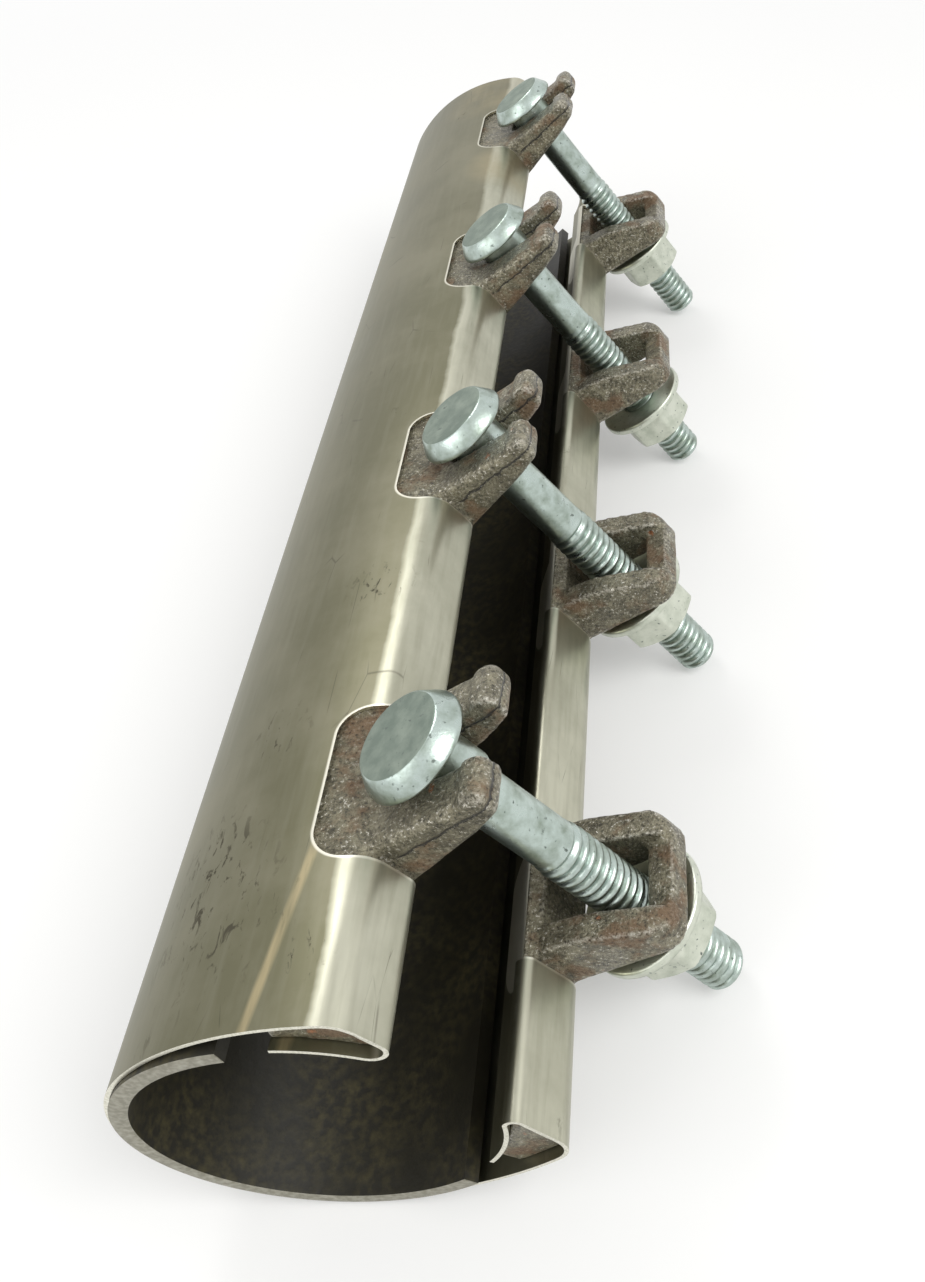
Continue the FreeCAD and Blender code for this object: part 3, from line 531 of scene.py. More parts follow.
def sand_cast_iron(finish, seam=False):
    """Sand-cast ductile iron with its oily foundry skin: brown-grey and pitted by the sand, its grains made
    to shine and painted pale as glints, with brown-red rust in patches, orange spots, edges pale with wear
    and with a painted highlight and, on the fingers, the ragged line where the mould's halves met."""
    material, where, shader = start_material("sand_cast_iron_seamed" if seam else "sand_cast_iron")
    tree = material.node_tree
    patch = noise_of(where, 15, detail=5.0, roughness=0.6)
    sand = noise_of(where, 1.0, detail=4.0, roughness=0.75)
    bloom = noise_of(where, 4, detail=5.0, roughness=0.7)
    base = mix(between(bloom, 0.36, 0.66), finish.iron, finish.iron_light)
    base = mix(between(patch, 0.52, 0.62, 0.0, 0.7), base, finish.rust)
    fresh = add_node(tree, "ShaderNodeTexNoise",
                     {"Vector": where, "Scale": per_metre(6), "Detail": 3.0, "W": 2.0}, noise_dimensions="4D")
    base = mix(between(fresh.outputs["Fac"], 0.70, 0.76, 0.0, 0.8), base, finish.rust_bright)
    base = mix(between(sand, 0.48, 0.34, 0.0, 0.85), base, finish.pit, "MULTIPLY")
    # painted glint: random sand grains are painted pale, and below also made more metallic and smoother
    glint = between(sand, 0.585, 0.645)
    painted_glint = times(glint, between(patch, 0.60, 0.50, 0.25, 1.0))
    base = mix(painted_glint, base, finish.iron_worn_and_glint)
    # edges painted pale, partly as wear and partly as a painted highlight along the ridges
    edge = add_node(tree, "ShaderNodeNewGeometry").outputs["Pointiness"]
    worn = times(between(edge, 0.52, 0.58), between(sand, 0.42, 0.54))
    base = mix(worn, base, finish.iron_worn_and_glint)
    height = sand
    if seam:
        groove = parting_line(where, bloom)
        base = mix(times(groove, SEAM_DIRT), base, finish.seam)
        height = plus(sand, times(groove, -SEAM_DEPTH))
    metal = plus(between(patch, 0.48, 0.60, 0.75, 0.30), times(glint, 0.2))
    rough = plus(between(patch, 0.42, 0.62, 0.34, 0.58), times(glint, -0.14))
    skin = bumped(height, 0.6, 1.0, bumped(bloom, 0.6, 0.5))
    oil = between(patch, 0.60, 0.48, 0.1, 0.8)
    shader.inputs["Coat Roughness"].default_value = 0.24
    link_all(shader, {"Base Color": base, "Metallic": metal, "Roughness": rough, "Normal": skin,
                      "Coat Weight": oil, "Coat Normal": skin})
    return material


def zinc_plate(finish, name, bright, dull, roughness, grain_mm=0.9):
    """Electroplated zinc, clear passivated: a pale metal with a cool cast and a slightly soft shine, dulled
    in clouds where it was handled, with dark specks and, on forged faces, a matt grain."""
    material, where, shader = start_material(name)
    cloud = noise_of(where, 6, detail=5.0, roughness=0.6)
    base = mix(between(cloud, 0.4, 0.68), bright, dull)
    base = mix(between(noise_of(where, 1.6), 0.64, 0.72), base, finish.zinc_spot)
    shader.inputs["Metallic"].default_value = 1.0
    rough = between(cloud, 0.3, 0.7, roughness, roughness + 0.16)
    skin = bumped(noise_of(where, grain_mm), 0.2, 0.3)
    link_all(shader, {"Base Color": base, "Roughness": rough, "Normal": skin})
    return material


WHITE = (1.0, 1.0, 1.0, 1.0)
# distances in metres between which the floor fades into the white room, and how white it starts
FLOOR_NEAR = 0.45
FLOOR_FAR = 1.1
FLOOR_GLOW = 0.3


def studio_floor(finish):
    """Matt white studio sweep: round the clamp it is plain paper that takes its soft shadow, and further
    out the camera and every reflection see it fade into the white of the room."""
    material, where, shader = start_material("studio_floor")
    tree = material.node_tree
    base = mix(noise_of(where, 400, detail=2.0), finish.floor, finish.floor_pale)
    link_all(shader, {"Base Color": base})
    shader.inputs["Roughness"].default_value = 0.9
    fade = between(length_of(where), FLOOR_NEAR, FLOOR_FAR, FLOOR_GLOW, 1.0)
    white = add_node(tree, "ShaderNodeEmission", {"Color": WHITE, "Strength": 1.0})
    both = add_node(tree, "ShaderNodeMixShader",
                    {0: times(fade, seen_ray(tree)), 1: shader.outputs["BSDF"], 2: white.outputs[0]})
    end = next(node for node in tree.nodes if node.type == "OUTPUT_MATERIAL")
    tree.links.new(both.outputs[0], end.inputs["Surface"])
    return material


def seen_ray(tree):
    """One for rays that the camera sees, straight, in a reflection or through something clear."""
    path = add_node(tree, "ShaderNodeLightPath").outputs
    seen = maths("MAXIMUM", path["Is Camera Ray"], path["Is Transmission Ray"])
    return maths("MAXIMUM", seen, path["Is Glossy Ray"])


def mesh_of(name, shape):
    """A finished bmesh as a new mesh."""
    mesh = bpy.data.meshes.new(name)
    shape.to_mesh(mesh)
    shape.free()
    return mesh


def linked(name, data):
    """A new object in the scene."""
    made = bpy.data.objects.new(name, data)
    bpy.context.scene.collection.objects.link(made)
    return made


def add_piece(name, mesh, body, materials, slot, *nodes):
    """Link a finished mesh, let it ride on its body and hide the nodes it replaces."""
    piece = linked(name, mesh)
    for material in materials:
        mesh.materials.append(material)
    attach(piece, body)
    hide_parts(*nodes)


def finish_mesh(name, shape, sharp_from):
    """Turn a section-frame bmesh in millimetres into a mesh in the frame, smooth but for edges that are
    sharper than an angle in degrees."""
    bmesh.ops.transform(shape, matrix=TO_FLOOR @ Matrix.Scale(MM, 4), verts=shape.verts)
    bmesh.ops.recalc_face_normals(shape, faces=shape.faces)
    mesh = mesh_of(name, shape)
    mesh.shade_smooth()
    mesh.set_sharp_from_angle(angle=radians(sharp_from))
    return mesh


# the longest steps along the arcs of the section, in millimetres
RING_STEP = 1.6
SHOULDER_STEP = 0.9
BEND_STEP = 0.45


def arc_points(centre, radius, start, end, step=RING_STEP):
    """Points along an arc, in degrees, about a step apart."""
    turn = radians(end - start)
    count = max(4, int(abs(turn) * radius / step))
    turns = [radians(start) + turn * i / count for i in range(count + 1)]
    return [Vector((centre[0] + radius * cos(at), centre[1] + radius * sin(at))) for at in turns]


def polar(radius, angle_at):
    """A point at a radius and an angle in degrees."""
    return radius * cos(radians(angle_at)), radius * sin(radians(angle_at))


def side_points(sheet, side, offset):
    """One side of the folded section from the tail's end to where the flank meets the ring."""
    names = (f"{side}_{name}" for name in ("bend", "fold", "tail", "shoulder", "flank", "start"))
    bend, fold_at, tail_at, shoulder_reach, flank_reach, start = (getattr(sheet, name) for name in names)
    ring = sheet.bore + sheet.gasket + sheet.seat + sheet.sheet
    tail = sheet.bore + sheet.tail_gap
    across, high = polar(tail + bend, fold_at)
    fold = (-across, high)
    flank = polar(flank_reach - ring, start)
    flank_radius = flank_reach - offset
    shoulder_radius = shoulder_reach - offset
    up = fold[1] + bend - offset - shoulder_radius
    spread = sqrt((flank_radius - shoulder_radius) ** 2 - (up - flank[1]) ** 2)
    shoulder = (flank[0] - spread, up)
    turn = degrees(atan2(up - flank[1], spread))
    points = arc_points((0, 0), tail + offset, 180 - tail_at, 180 - fold_at)
    points += arc_points(fold, bend - offset, -fold_at, 90, BEND_STEP)
    points += arc_points(shoulder, shoulder_radius, 90, 180 - turn, SHOULDER_STEP)
    points += arc_points(flank, flank_radius, 180 - turn, 180 + start)
    return [Vector((-p.x, p.y)) for p in points] if side == "right" else points


def thin_out(points, least=0.05):
    """Drop points that repeat the one before."""
    kept = [points[0]]
    for point in points[1:]:
        if (point - kept[-1]).length > least:
            kept.append(point)
    return kept


def skin_points(sheet, offset):
    """The whole folded section at one offset, from the left tail round to the right tail."""
    ring = sheet.bore + sheet.gasket + sheet.seat + sheet.sheet - offset
    around = arc_points((0, 0), ring, 180 + sheet.left_start, 360 - sheet.right_start)
    right = list(reversed(side_points(sheet, "right", offset)))
    return thin_out(side_points(sheet, "left", offset) + around + right)


def stations(half, step):
    """Even places along the pipe."""
    count = int(2 * half / step)
    return [-half + 2 * half * i / count for i in range(count + 1)]


def join_rows(shape, low, high, pairs, finish=0):
    """Faces in one of the finishes between two rows of points, one for each pair of places in a row."""
    for i, j in pairs:
        shape.faces.new((low[i], low[j], high[j], high[i])).material_index = finish


def bridge_uneven(shape, first, second):
    """Fill between two open rows of vertices that run side by side but may differ in number, with the
    second finish."""
    i = j = 0
    while i < len(first) - 1 or j < len(second) - 1:
        first_left = i < len(first) - 1
        first_behind = i * (len(second) - 1) <= j * (len(first) - 1)
        if first_left and (j == len(second) - 1 or first_behind):
            face = shape.faces.new((first[i], first[i + 1], second[j]))
            i += 1
        else:
            face = shape.faces.new((first[i], second[j + 1], second[j]))
            j += 1
        face.material_index = 1


BAND_STEP = 6.0


def sheet_between(outer, inner):
    """The sheet between two skins, closed at its tails and ends, which take the second finish."""
    shape = bmesh.new()
    places = stations(BAND_HALF, BAND_STEP)
    outer_rows = [[shape.verts.new((p.x, y, p.y)) for p in outer] for y in places]
    inner_rows = [[shape.verts.new((p.x, y, p.y)) for p in inner] for y in places]
    for rows in (outer_rows, inner_rows):
        steps = [(i, i + 1) for i in range(len(rows[0]) - 1)]
        for low, high in zip(rows, rows[1:]):
            join_rows(shape, low, high, steps)
    pairs = list(zip(outer_rows, inner_rows))
    for end in (0, -1):
        for first, second in zip(pairs, pairs[1:]):
            edge = (first[0][end], first[1][end], second[1][end], second[0][end])
            shape.faces.new(edge).material_index = 1
        bridge_uneven(shape, outer_rows[end], inner_rows[end])
    bmesh.ops.recalc_face_normals(shape, faces=shape.faces)
    return mesh_of("sheet_between", shape)


CORNER_PARTS = 12


def notch_cutter(sheet, notch, side):
    """Rounded prisms that cut the notches of one side, one at each lug."""
    hand, lean, reach, half = notch_side(notch, side)
    floor = sheet.bore + sheet.tail_gap + sheet.sheet + notch.lift
    corner = notch.corner
    outline = [Vector((-hand * notch.mouth, -half)), Vector((-hand * notch.mouth, half))]
    for middle, start in ((half - corner, 90), (corner - half, 0)):
        for i in range(CORNER_PARTS + 1):
            out, along = polar(corner, start - 90 * i / CORNER_PARTS)
            outline.append(Vector((hand * (reach - corner + out), middle + along)))
    shape = bmesh.new()
    for lug in LUGS:
        base, roof = ([shape.verts.new((p.x, p.y, z)) for p in outline] for z in (0, notch.tall))
        shape.faces.new(base)
        shape.faces.new(roof)
        join_rows(shape, base, roof, [(i - 1, i) for i in range(len(outline))])
        place = Matrix.Translation((floor * sin(lean), lug_y(lug), floor * cos(lean)))
        bmesh.ops.transform(shape, matrix=place @ Matrix.Rotation(lean, 4, "Y"), verts=base + roof)
    bmesh.ops.recalc_face_normals(shape, faces=shape.faces)
    return mesh_of(f"{side}_notch_cutter", shape)


def cut_away(mesh, cutters):
    """Cut meshes out of a mesh, both in the section's frame, and return the result."""
    work = linked("cutting", mesh)
    tools = [linked("cutter", cutter) for cutter in cutters]
    for tool in tools:
        modifier = work.modifiers.new("cut", "BOOLEAN")
        modifier.operation = "DIFFERENCE"
        modifier.solver = "EXACT"
        modifier.object = tool
        modifier.material_mode = "TRANSFER"
    graph = bpy.context.evaluated_depsgraph_get()
    result = bpy.data.meshes.new_from_object(work.evaluated_get(graph))
    for item in [work, *tools]:
        bpy.data.objects.remove(item)
    return result


EDGE_BREAK = 0.42
EDGE_WELD = 0.002
EDGE_SHARP = 60


def break_edges(shape):
    """Break the sheet's sheared edges, so that they catch the light; the breaks take the second finish."""
    bmesh.ops.remove_doubles(shape, verts=shape.verts, dist=EDGE_WELD)
    closed = [edge for edge in shape.edges if len(edge.link_faces) == 2]
    sharp = [edge for edge in closed if degrees(edge.calc_face_angle(0.0)) > EDGE_SHARP]
    bmesh.ops.bevel(shape, geom=sharp, offset=EDGE_BREAK, segments=1, affect="EDGES", material=1,
                    clamp_overlap=True)


class ClampOperator:
    """What the clamp's operators share."""
    bl_options = {"REGISTER", "UNDO"}


class BandOperator(ClampOperator, bpy.types.Operator):
    """Build the folded stainless sheet with its notches."""
    bl_idname = "clamp.band"
    bl_label = "Band"

    def execute(self, context):
        scene = context.scene
        sheet, notch = drawn(scene.clamp_sheet), drawn(scene.clamp_notch)
        mesh = sheet_between(skin_points(sheet, 0.0), skin_points(sheet, sheet.sheet))
        mesh.materials.append(stainless_sheet(scene.clamp_finish, notch))
        mesh.materials.append(sheared_edge(scene.clamp_finish))
        cutters = [notch_cutter(sheet, notch, side) for side in ("left", "right")]
        for cutter in cutters:
            cutter.materials.append(mesh.materials[1])
        cut = cut_away(mesh, cutters)
        shape = bmesh.new()
        shape.from_mesh(cut)
        break_edges(shape)
        made = finish_mesh("band_sheet", shape, 30)
        add_piece("band_sheet", made, "clamp", list(cut.materials), "band_sheet", "band_shell")
        return {"FINISHED"}


class GasketOperator(ClampOperator, bpy.types.Operator):
    """Build the rubber lining with its paler sliced ends."""
    bl_idname = "clamp.gasket"
    bl_label = "Gasket"

    def execute(self, context):
        scene = context.scene
        mesh = finish_mesh("gasket_lining", gasket_shape(drawn(scene.clamp_sheet)), 40)
        finishes = [gasket_rubber(scene.clamp_finish), sliced_rubber(scene.clamp_finish)]
        add_piece("gasket_lining", mesh, "clamp", finishes, "gasket_rubber", "gasket")
        return {"FINISHED"}


GASKET_AROUND = 150
GASKET_STEP = 8.0
LIP_SHARE = 0.4


def gasket_shape(sheet):
    """A long open ring whose ends are sliced with slightly rounded edges; they take the second finish."""
    start, end = 180 - sheet.gasket_left, 360 + sheet.gasket_right
    count = GASKET_AROUND
    shape = bmesh.new()
    rounding = sheet.gasket_round
    lip_out = rounding * LIP_SHARE
    places = stations(GASKET_HALF, GASKET_STEP)
    places = [places[0] + lip_out] + places[1:-1] + [places[-1] - lip_out]
    rows = []
    for y in places:
        row = []
        for i in range(count + 1):
            at = radians(start + (end - start) * i / count)
            for radius in (sheet.bore, sheet.bore + sheet.gasket):
                row.append(shape.verts.new((radius * cos(at), y, radius * sin(at))))
        rows.append(row)
    strips = [(2 * i + side, 2 * i + 2 + side) for i in range(count) for side in (0, 1)]
    strips += [(a, a + 1) for a in (0, 2 * count)]
    for low, high in zip(rows, rows[1:]):
        join_rows(shape, low, high, strips)
    for row, sign in ((rows[0], -1), (rows[-1], 1)):
        lip = []
        for i, vertex in enumerate(row):
            out = Vector((vertex.co.x, 0, vertex.co.z)).normalized()
            inward = out * (rounding * (1 if i % 2 == 0 else -1))
            lip.append(shape.verts.new(vertex.co + inward + Vector((0, sign * lip_out, 0))))
        join_rows(shape, row, lip, strips, 1)
        join_rows(shape, lip[0::2], lip[1::2], [(i, i + 1) for i in range(count)], 1)
    return shape


# the castings' skin in millimetres: mesh size, size and height of its unevenness, and how far that sinks in
CAST_VOXEL = 0.95
CAST_SMOOTH = 4
CAST_SWELLS = ((9, 1.0), (3.5, 0.6))
CAST_SWELL = 0.16
CAST_SINK = 0.08
CAST_WELD = 0.01


def cast_from(node, name):
    """A sand casting of a node: its edges softened as a mould leaves them, and its skin a little uneven."""
    work = linked(name, frame["nodes"][node].data.copy())
    weld = work.modifiers.new("weld", "WELD")
    weld.merge_threshold = CAST_WELD * MM
    remesh = work.modifiers.new("mould", "REMESH")
    remesh.mode = "VOXEL"
    remesh.voxel_size = CAST_VOXEL * MM
    soften = work.modifiers.new("soften", "SMOOTH")
    soften.factor = 0.5
    soften.iterations = CAST_SMOOTH
    graph = bpy.context.evaluated_depsgraph_get()
    mesh = bpy.data.meshes.new_from_object(work.evaluated_get(graph))
    bpy.data.objects.remove(work)
    mesh.materials.clear()
    normals = [vertex.normal.copy() for vertex in mesh.vertices]
    for vertex, normal in zip(mesh.vertices, normals):
        swell = sum(share * noise.noise(vertex.co * per_metre(size)) for size, share in CAST_SWELLS)
        vertex.co += normal * (swell * CAST_SWELL - CAST_SINK) * MM
    mesh.shade_smooth()
    mesh.name = name
    return mesh


class CastBarsOperator(ClampOperator, bpy.types.Operator):
    """Cast the bar with its pairs of fingers and the bar with its closed loops."""
    bl_idname = "clamp.cast_bars"
    bl_label = "Cast bars"

    def execute(self, context):
        for kind in ("finger", "loop"):
            iron = sand_cast_iron(context.scene.clamp_finish, seam=kind == "finger")
            mesh = cast_from(f"{kind}_bar", f"{kind}_casting")
            add_piece(f"{kind}_casting", mesh, "clamp", [iron], "cast_bar", f"{kind}_bar")
        return {"FINISHED"}


def lathe(shape, profile, around, turn=None):
    """Turn a profile of (along, radius) about the bolt's axis; turn may reshape each point's radius."""
    rows = []
    for along, radius in profile:
        if radius < 1e-6:
            rows.append([shape.verts.new((along, 0, 0))])
            continue
        row = []
        for i in range(around):
            at = 2 * pi * i / around
            reach = radius if turn is None else turn(along, radius, at)
            row.append(shape.verts.new((along, reach * cos(at), reach * sin(at))))
        rows.append(row)
    pairs = [(i - 1, i) for i in range(around)]
    for low, high in zip(rows, rows[1:]):
        if len(low) > 1 and len(high) > 1:
            join_rows(shape, low, high, pairs)
            continue
        tip, ring = (low[0], high) if len(low) == 1 else (high[0], low)
        for i, j in pairs:
            shape.faces.new((tip, ring[j], ring[i]))


def oval_reach(bolt, at):
    """Distance from the bolt's axis to the oval neck's side at an angle (0 along the pipe)."""
    half = bolt.neck_width / 2
    rise = bolt.neck_depth / 2 - half
    across, up = abs(cos(at)), abs(sin(at))
    if across > 1e-9 and half * up / across <= rise:
        return half / across
    return rise * up + sqrt(max(half ** 2 - (rise * across) ** 2, 0))


def held(value):
    """A value held between nothing and one."""
    return min(max(value, 0.0), 1.0)


BOLT_AROUND = 60
LATHE_WELD = 0.001
THREAD_DEPTH = 0.44
THREAD_RUN_IN = 1.6
THREAD_FORM = (
    # share of a pitch along the bolt, share of the thread's depth
    (0.00, 0.00), (0.14, 0.00), (0.27, 0.10), (0.42, 0.62),
    (0.53, 1.00), (0.61, 0.98), (0.76, 0.42), (0.90, 0.06),
)


def wind_thread(shape, bolt):
    """A right-handed rolled thread whose rows of points follow its own helix, with a soft run-in."""
    start = bolt.total - bolt.thread_run
    depth = THREAD_DEPTH * bolt.pitch
    turns = ceil(bolt.thread_run / bolt.pitch) + 2
    count = BOLT_AROUND * turns + 1
    rows = []
    for n in range(count):
        at = 2 * pi * n / BOLT_AROUND
        row = []
        for share, deep in THREAD_FORM:
            along = start + bolt.pitch * (n / BOLT_AROUND - 1 + share)
            along = min(max(along, start), bolt.total)
            enter = held((along - start) / (THREAD_RUN_IN * bolt.pitch))
            tip = held((bolt.total - along) / bolt.tip)
            radius = bolt.shank + (bolt.thread - depth * deep - bolt.shank) * enter
            radius = min(radius, bolt.thread - depth * (1 - tip))
            row.append(shape.verts.new((along, radius * cos(at), radius * sin(at))))
        rows.append(row)
    last = len(THREAD_FORM) - 1
    for n in range(count - 1):
        for k in range(last):
            shape.faces.new((rows[n][k], rows[n][k + 1], rows[n + 1][k + 1], rows[n + 1][k]))
        on = n + BOLT_AROUND
        if on + 1 < count:
            shape.faces.new((rows[n][last], rows[on][0], rows[on + 1][0], rows[n + 1][last]))
    return start, bolt.thread - depth


# the bolts' soft edges in millimetres: the dish in the head's top, the rounding of its bevel, the lip round
# its flat, the steps and the run-out of the oval neck, and the depth and radius of the dish in the tip
HEAD_DISH = 0.12
HEAD_SOFT = 0.5
HEAD_LIP = 0.25
NECK_PARTS = 26
NECK_SHOULDER = 4.0
TIP_DISH = ((0.15, 2.0), (0.2, 0.0))


def bolt_shape(bolt, lug):
    """A bolt along its own axis with a bevelled forged head, an oval neck and a wound thread. The head's
    flat top takes the second finish."""
    shape = bmesh.new()
    high, flat, rim, low = bolt.head_high, bolt.head_flat, bolt.head, bolt.head_rim
    bevel = (rim - flat) / (high - low)
    flat_edge = (-high + HEAD_DISH, flat - HEAD_LIP)
    top = [(-high + HEAD_DISH, 0.0), (-high + 0.02, flat * 0.5), (-high, flat - 1.0), flat_edge]
    head = [flat_edge, (-high + HEAD_SOFT, flat + bevel * HEAD_SOFT),
            (-low - HEAD_SOFT, rim - bevel * HEAD_SOFT), (-low, rim - HEAD_DISH), (-low + HEAD_SOFT, rim),
            (-0.3, rim - 0.05), (0.0, rim - 0.4), (0.0, bolt.neck_depth / 2 + 0.6)]
    neck = [(bolt.neck * i / NECK_PARTS, bolt.shank) for i in range(NECK_PARTS + 1)]

    def with_neck(along, radius, at):
        if radius != bolt.shank or along > bolt.neck:
            return radius
        blend = held((along - bolt.neck + NECK_SHOULDER) / NECK_SHOULDER)
        blend = blend * blend * (3 - 2 * blend)
        return oval_reach(bolt, at) * (1 - blend) + bolt.shank * blend

    lathe(shape, top, BOLT_AROUND)
    for face in shape.faces:
        face.material_index = 1
    start, end_radius = wind_thread(shape, bolt)
    lathe(shape, head + neck + [(start, bolt.shank)], BOLT_AROUND, with_neck)
    end = [(bolt.total - deep, radius) for deep, radius in TIP_DISH]
    lathe(shape, [(bolt.total, end_radius)] + end, BOLT_AROUND)
    dent_head(shape, lug)
    return shape


DENT_SHIFT = Vector((13.7, 5.1, 2.9))
DENT_SIZE = 0.22
DENT_DEEP = 0.08


def dent_head(shape, lug):
    """Small dents and unevenness of a forged head, different on each bolt."""
    for vertex in shape.verts:
        if vertex.co.x < -HEAD_SOFT:
            dent = noise.noise(vertex.co * DENT_SIZE + lug * DENT_SHIFT)
            vertex.co.x += DENT_DEEP * dent + DENT_DEEP / 2


def add_on_bolt(node, form, lug, shape, ahead, sharp_from, materials, slot):
    """Close a shape that was made round the bolt's axis, move it to its lug, and add it for its node."""
    bmesh.ops.remove_doubles(shape, verts=shape.verts, dist=LATHE_WELD)
    place = (lowest_x(node) + ahead, lug_y(lug), bolt_z(lug))
    bmesh.ops.translate(shape, verts=shape.verts, vec=place)
    name = f"{node}_{form}"
    add_piece(name, finish_mesh(name, shape, sharp_from), f"{node}_body", materials, slot, node)


class BoltsOperator(ClampOperator, bpy.types.Operator):
    """Build the four bolts."""
    bl_idname = "clamp.bolts"
    bl_label = "Bolts"

    def execute(self, context):
        scene = context.scene
        finish, bolt = scene.clamp_finish, drawn(scene.clamp_bolt)
        zinc = zinc_plate(finish, "zinc_plate_bolt", finish.zinc, finish.zinc_dull, roughness=0.24)
        forged = zinc_plate(finish, "zinc_plate_forged", finish.zinc_head, finish.zinc_head_pale,
                            roughness=0.46, grain_mm=0.6)
        for lug in LUGS:
            shape = bolt_shape(bolt, lug)
            add_on_bolt(f"bolt_{lug}", "turned", lug, shape, bolt.head_high, 50, [zinc, forged], "bolt_zinc")
        return {"FINISHED"}


WASHER_AROUND = 72
WASHER_FRONT = ((0.0, 0.9), (0.25, 0.3), (0.8, 0.0))
WASHER_BACK = ((0.3, 0.0), (0.0, 0.25))
WASHER_HOLE_BACK = ((0.0, 0.5), (0.4, 0.0))
WASHER_HOLE_FRONT = ((0.2, 0.0), (0.0, 0.2))


def washer_shape(bolt):
    """A punched washer: its rim is rolled over on the front face and keeps a small edge on the back. Each
    edge is given as the way from its face and from the rim or hole."""
    thick, outer, hole = bolt.washer_thick, bolt.washer, bolt.washer_hole
    ring = [(0.0, hole + WASHER_HOLE_FRONT[1][1])]
    ring += [(deep, outer - inwards) for deep, inwards in WASHER_FRONT]
    ring += [(thick - deep, outer - inwards) for deep, inwards in WASHER_BACK]
    ring += [(thick - deep, hole + outwards) for deep, outwards in WASHER_HOLE_BACK]
    ring += [(deep, hole + outwards) for deep, outwards in WASHER_HOLE_FRONT]
    shape = bmesh.new()
    lathe(shape, ring, WASHER_AROUND)
    return shape


class WashersOperator(ClampOperator, bpy.types.Operator):
    """Build the four washers, punched and so rounded on one face."""
    bl_idname = "clamp.washers"
    bl_label = "Washers"

    def execute(self, context):
        scene = context.scene
        finish, bolt = scene.clamp_finish, drawn(scene.clamp_bolt)
        zinc = zinc_plate(finish, "zinc_plate_nut", finish.zinc_nut, finish.zinc_nut_dull, roughness=0.28)
        for lug in LUGS:
            add_on_bolt(f"washer_{lug}", "punched", lug, washer_shape(bolt), 0.0, 40, [zinc], "nut_zinc")
        return {"FINISHED"}


class NutsOperator(ClampOperator, bpy.types.Operator):
    """Build the four heavy hexagon nuts with chamfered faces and countersunk bores."""
    bl_idname = "clamp.nuts"
    bl_label = "Nuts"

    def execute(self, context):
        bolt = drawn(context.scene.clamp_bolt)
        zinc = bpy.data.materials["zinc_plate_nut"]
        for lug in LUGS:
            add_on_bolt(f"nut_{lug}", "hexagon", lug, nut_shape(bolt), 0.0, 32, [zinc], "nut_zinc")
        return {"FINISHED"}


# the nut's chamfer in millimetres: its face's inset, where its cone starts, its steps, and the corners' ease
NUT_AROUND = 96
FACE_INSET = 0.9
CONE_INSET = 0.3
CONE_STEP = 0.18
CONE_LEVELS = 12
CORNER_EASE = 0.35
SIXTH = radians(60)


def nut_shape(bolt):
    """A hexagon with the corners of both faces chamfered by a cone, and a countersunk bore."""
    shape = bmesh.new()
    half, high, sunk = bolt.flats / 2, bolt.nut_high, bolt.nut_sunk
    corner = half / cos(SIXTH / 2)
    slope = tan(SIXTH / 2)
    bore = bolt.thread + bolt.nut_bore

    def hexagon(along, radius, at):
        if radius < half - FACE_INSET:
            return radius
        turned = (at + SIXTH / 2) % SIXTH - SIXTH / 2
        return min(half / cos(turned), corner - CORNER_EASE, radius)

    levels = [CONE_STEP * i for i in range(CONE_LEVELS)]
    rise = [(level, half - CONE_INSET + level / slope) for level in levels]
    body = rise + [(high - level, radius) for level, radius in reversed(rise)]
    front = [(0.0, bore + sunk), (0.0, half - FACE_INSET)]
    back = [(high, half - FACE_INSET), (high, bore + sunk), (high - sunk, bore)]
    lathe(shape, front + body + back + [(sunk, bore), (0.0, bore + sunk)], NUT_AROUND, hexagon)
    return shape


class StageOperator(ClampOperator, bpy.types.Operator):
    """Lay the pale floor, set the soft studio light and place the camera as the photograph was taken."""
    bl_idname = "clamp.stage"
    bl_label = "Stage"

    def execute(self, context):
        scene = context.scene
        lay_floor(scene)
        light_world(scene)
        set_lamps()
        place_camera(scene)
        scene.view_settings.view_transform = "Standard"
        return {"FINISHED"}


FLOOR_HALF = 6.0
FLOOR_DROP = 0.2


def lay_floor(scene):
    """A wide matt floor just under the clamp."""
    shape = bmesh.new()
    bmesh.ops.create_grid(shape, x_segments=1, y_segments=1, size=FLOOR_HALF)
    floor = linked("floor", mesh_of("floor", shape))
    floor.data.materials.append(studio_floor(scene.clamp_finish))
    floor.location.z = CAD_BOX[0].z - FLOOR_DROP * MM


ROOM_LIGHT = 0.6


def light_world(scene):
    """A soft grey room that the camera and the metals' reflections see as white."""
    world = bpy.data.worlds.new("studio")
    scene.world = world
    world.use_nodes = True
    tree = world.node_tree
    tree.nodes.clear()
    soft = add_node(tree, "ShaderNodeBackground", {"Color": WHITE, "Strength": ROOM_LIGHT})
    white = add_node(tree, "ShaderNodeBackground", {"Color": WHITE, "Strength": 1.0})
    both = add_node(tree, "ShaderNodeMixShader",
                    {"Fac": seen_ray(tree), 1: soft.outputs[0], 2: white.outputs[0]})
    add_node(tree, "ShaderNodeOutputWorld", {"Surface": both.outputs[0]})


LAMPS = (
    # name, place in metres, width and height, watts; each one looks at the clamp's middle
    ("key", (0.9, -0.5, 1.3), 0.9, 14.0),
    ("fill", (-1.1, -0.9, 0.9), 1.2, 6.0),
    ("top", (-0.5, 0.62, 1.15), 0.45, 3.6),
)


def set_lamps():
    """Soft lamps: a key from the bolts' side, a fill from the left, and a small one above the far end that
    draws the long highlight on the folds."""
    for name, place, size, watts in LAMPS:
        lamp = bpy.data.lights.new(name, "AREA")
        lamp.shape = "SQUARE"
        lamp.size = size
        lamp.energy = watts
        item = linked(name, lamp)
        item.location = place
        item.rotation_euler = (-Vector(place)).to_track_quat("-Z", "Y").to_euler()


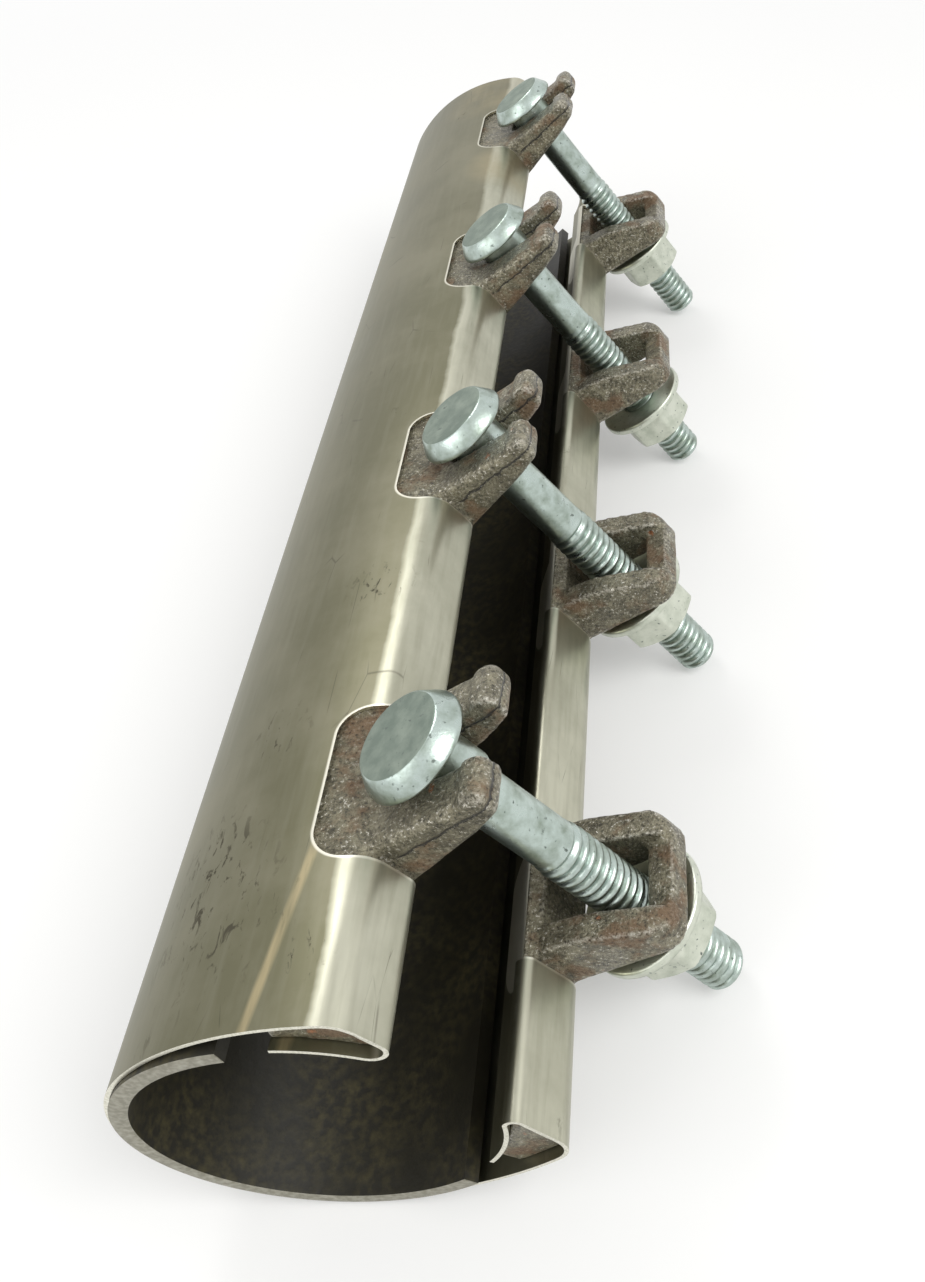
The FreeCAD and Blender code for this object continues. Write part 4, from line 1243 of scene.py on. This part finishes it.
# the photograph's camera: place in millimetres and turn in degrees in the section's axes, focal length and
# optical centre in pixels, the photograph's size in pixels, and the film's longer side in millimetres
CAMERA_PLACE = (-193.46, -354.31, 236.34)
CAMERA_TURN = (46.098, -53.590, 1.067)
FOCAL_PIXELS = 1136.2
CENTRE_PIXEL = (623.7, 530.1)
PHOTO_SIZE = (925, 1282)
SENSOR = 36.0
CLIP_NEAR = 0.01
CLIP_FAR = 50.0


def place_camera(scene):
    """Set the photograph's camera, with the shift that its framing needs."""
    data = bpy.data.cameras.new("camera")
    camera = linked("camera", data)
    turn = Euler([radians(a) for a in CAMERA_TURN], "XYZ").to_matrix().to_4x4()
    camera.matrix_world = TO_FLOOR @ Matrix.Translation(Vector(CAMERA_PLACE) * MM) @ turn
    data.sensor_width = SENSOR
    data.lens = FOCAL_PIXELS / PHOTO_SIZE[1] * SENSOR
    data.shift_x = (PHOTO_SIZE[0] / 2 - CENTRE_PIXEL[0]) / PHOTO_SIZE[1]
    data.shift_y = (CENTRE_PIXEL[1] - PHOTO_SIZE[1] / 2) / PHOTO_SIZE[1]
    data.clip_start = CLIP_NEAR
    data.clip_end = CLIP_FAR
    scene.camera = camera


OPERATORS = (BandOperator, GasketOperator, CastBarsOperator, BoltsOperator, WashersOperator, NutsOperator,
             StageOperator)
GROUPS = {
    "clamp_sheet": ClampSheet,
    "clamp_notch": ClampNotch,
    "clamp_bolt": ClampBolt,
    "clamp_finish": ClampFinish,
}


class ClampPanel(bpy.types.Panel):
    """Buttons for each piece and the sizes and colours that they use."""
    bl_idname = "VIEW3D_PT_clamp"
    bl_label = "Pipe repair clamp"
    bl_space_type = "VIEW_3D"
    bl_region_type = "UI"
    bl_category = "Clamp"

    def draw(self, context):
        column = self.layout.column()
        for operator in OPERATORS:
            column.operator(operator.bl_idname)
        for group in GROUPS:
            values = getattr(context.scene, group)
            for name in values.bl_rna.properties.keys():
                if name not in ("rna_type", "name"):
                    column.prop(values, name)


def register():
    for item in (*GROUPS.values(), *OPERATORS, ClampPanel):
        bpy.utils.register_class(item)
    for name, group in GROUPS.items():
        setattr(bpy.types.Scene, name, bpy.props.PointerProperty(type=group))


def unregister():
    for name in GROUPS:
        delattr(bpy.types.Scene, name)
    for item in reversed((*GROUPS.values(), *OPERATORS, ClampPanel)):
        bpy.utils.unregister_class(item)


def main():
    register()
    bpy.ops.clamp.band()
    bpy.ops.clamp.gasket()
    bpy.ops.clamp.cast_bars()
    bpy.ops.clamp.bolts()
    bpy.ops.clamp.washers()
    bpy.ops.clamp.nuts()
    bpy.ops.clamp.stage()


if __name__ == "__main__":
    main()
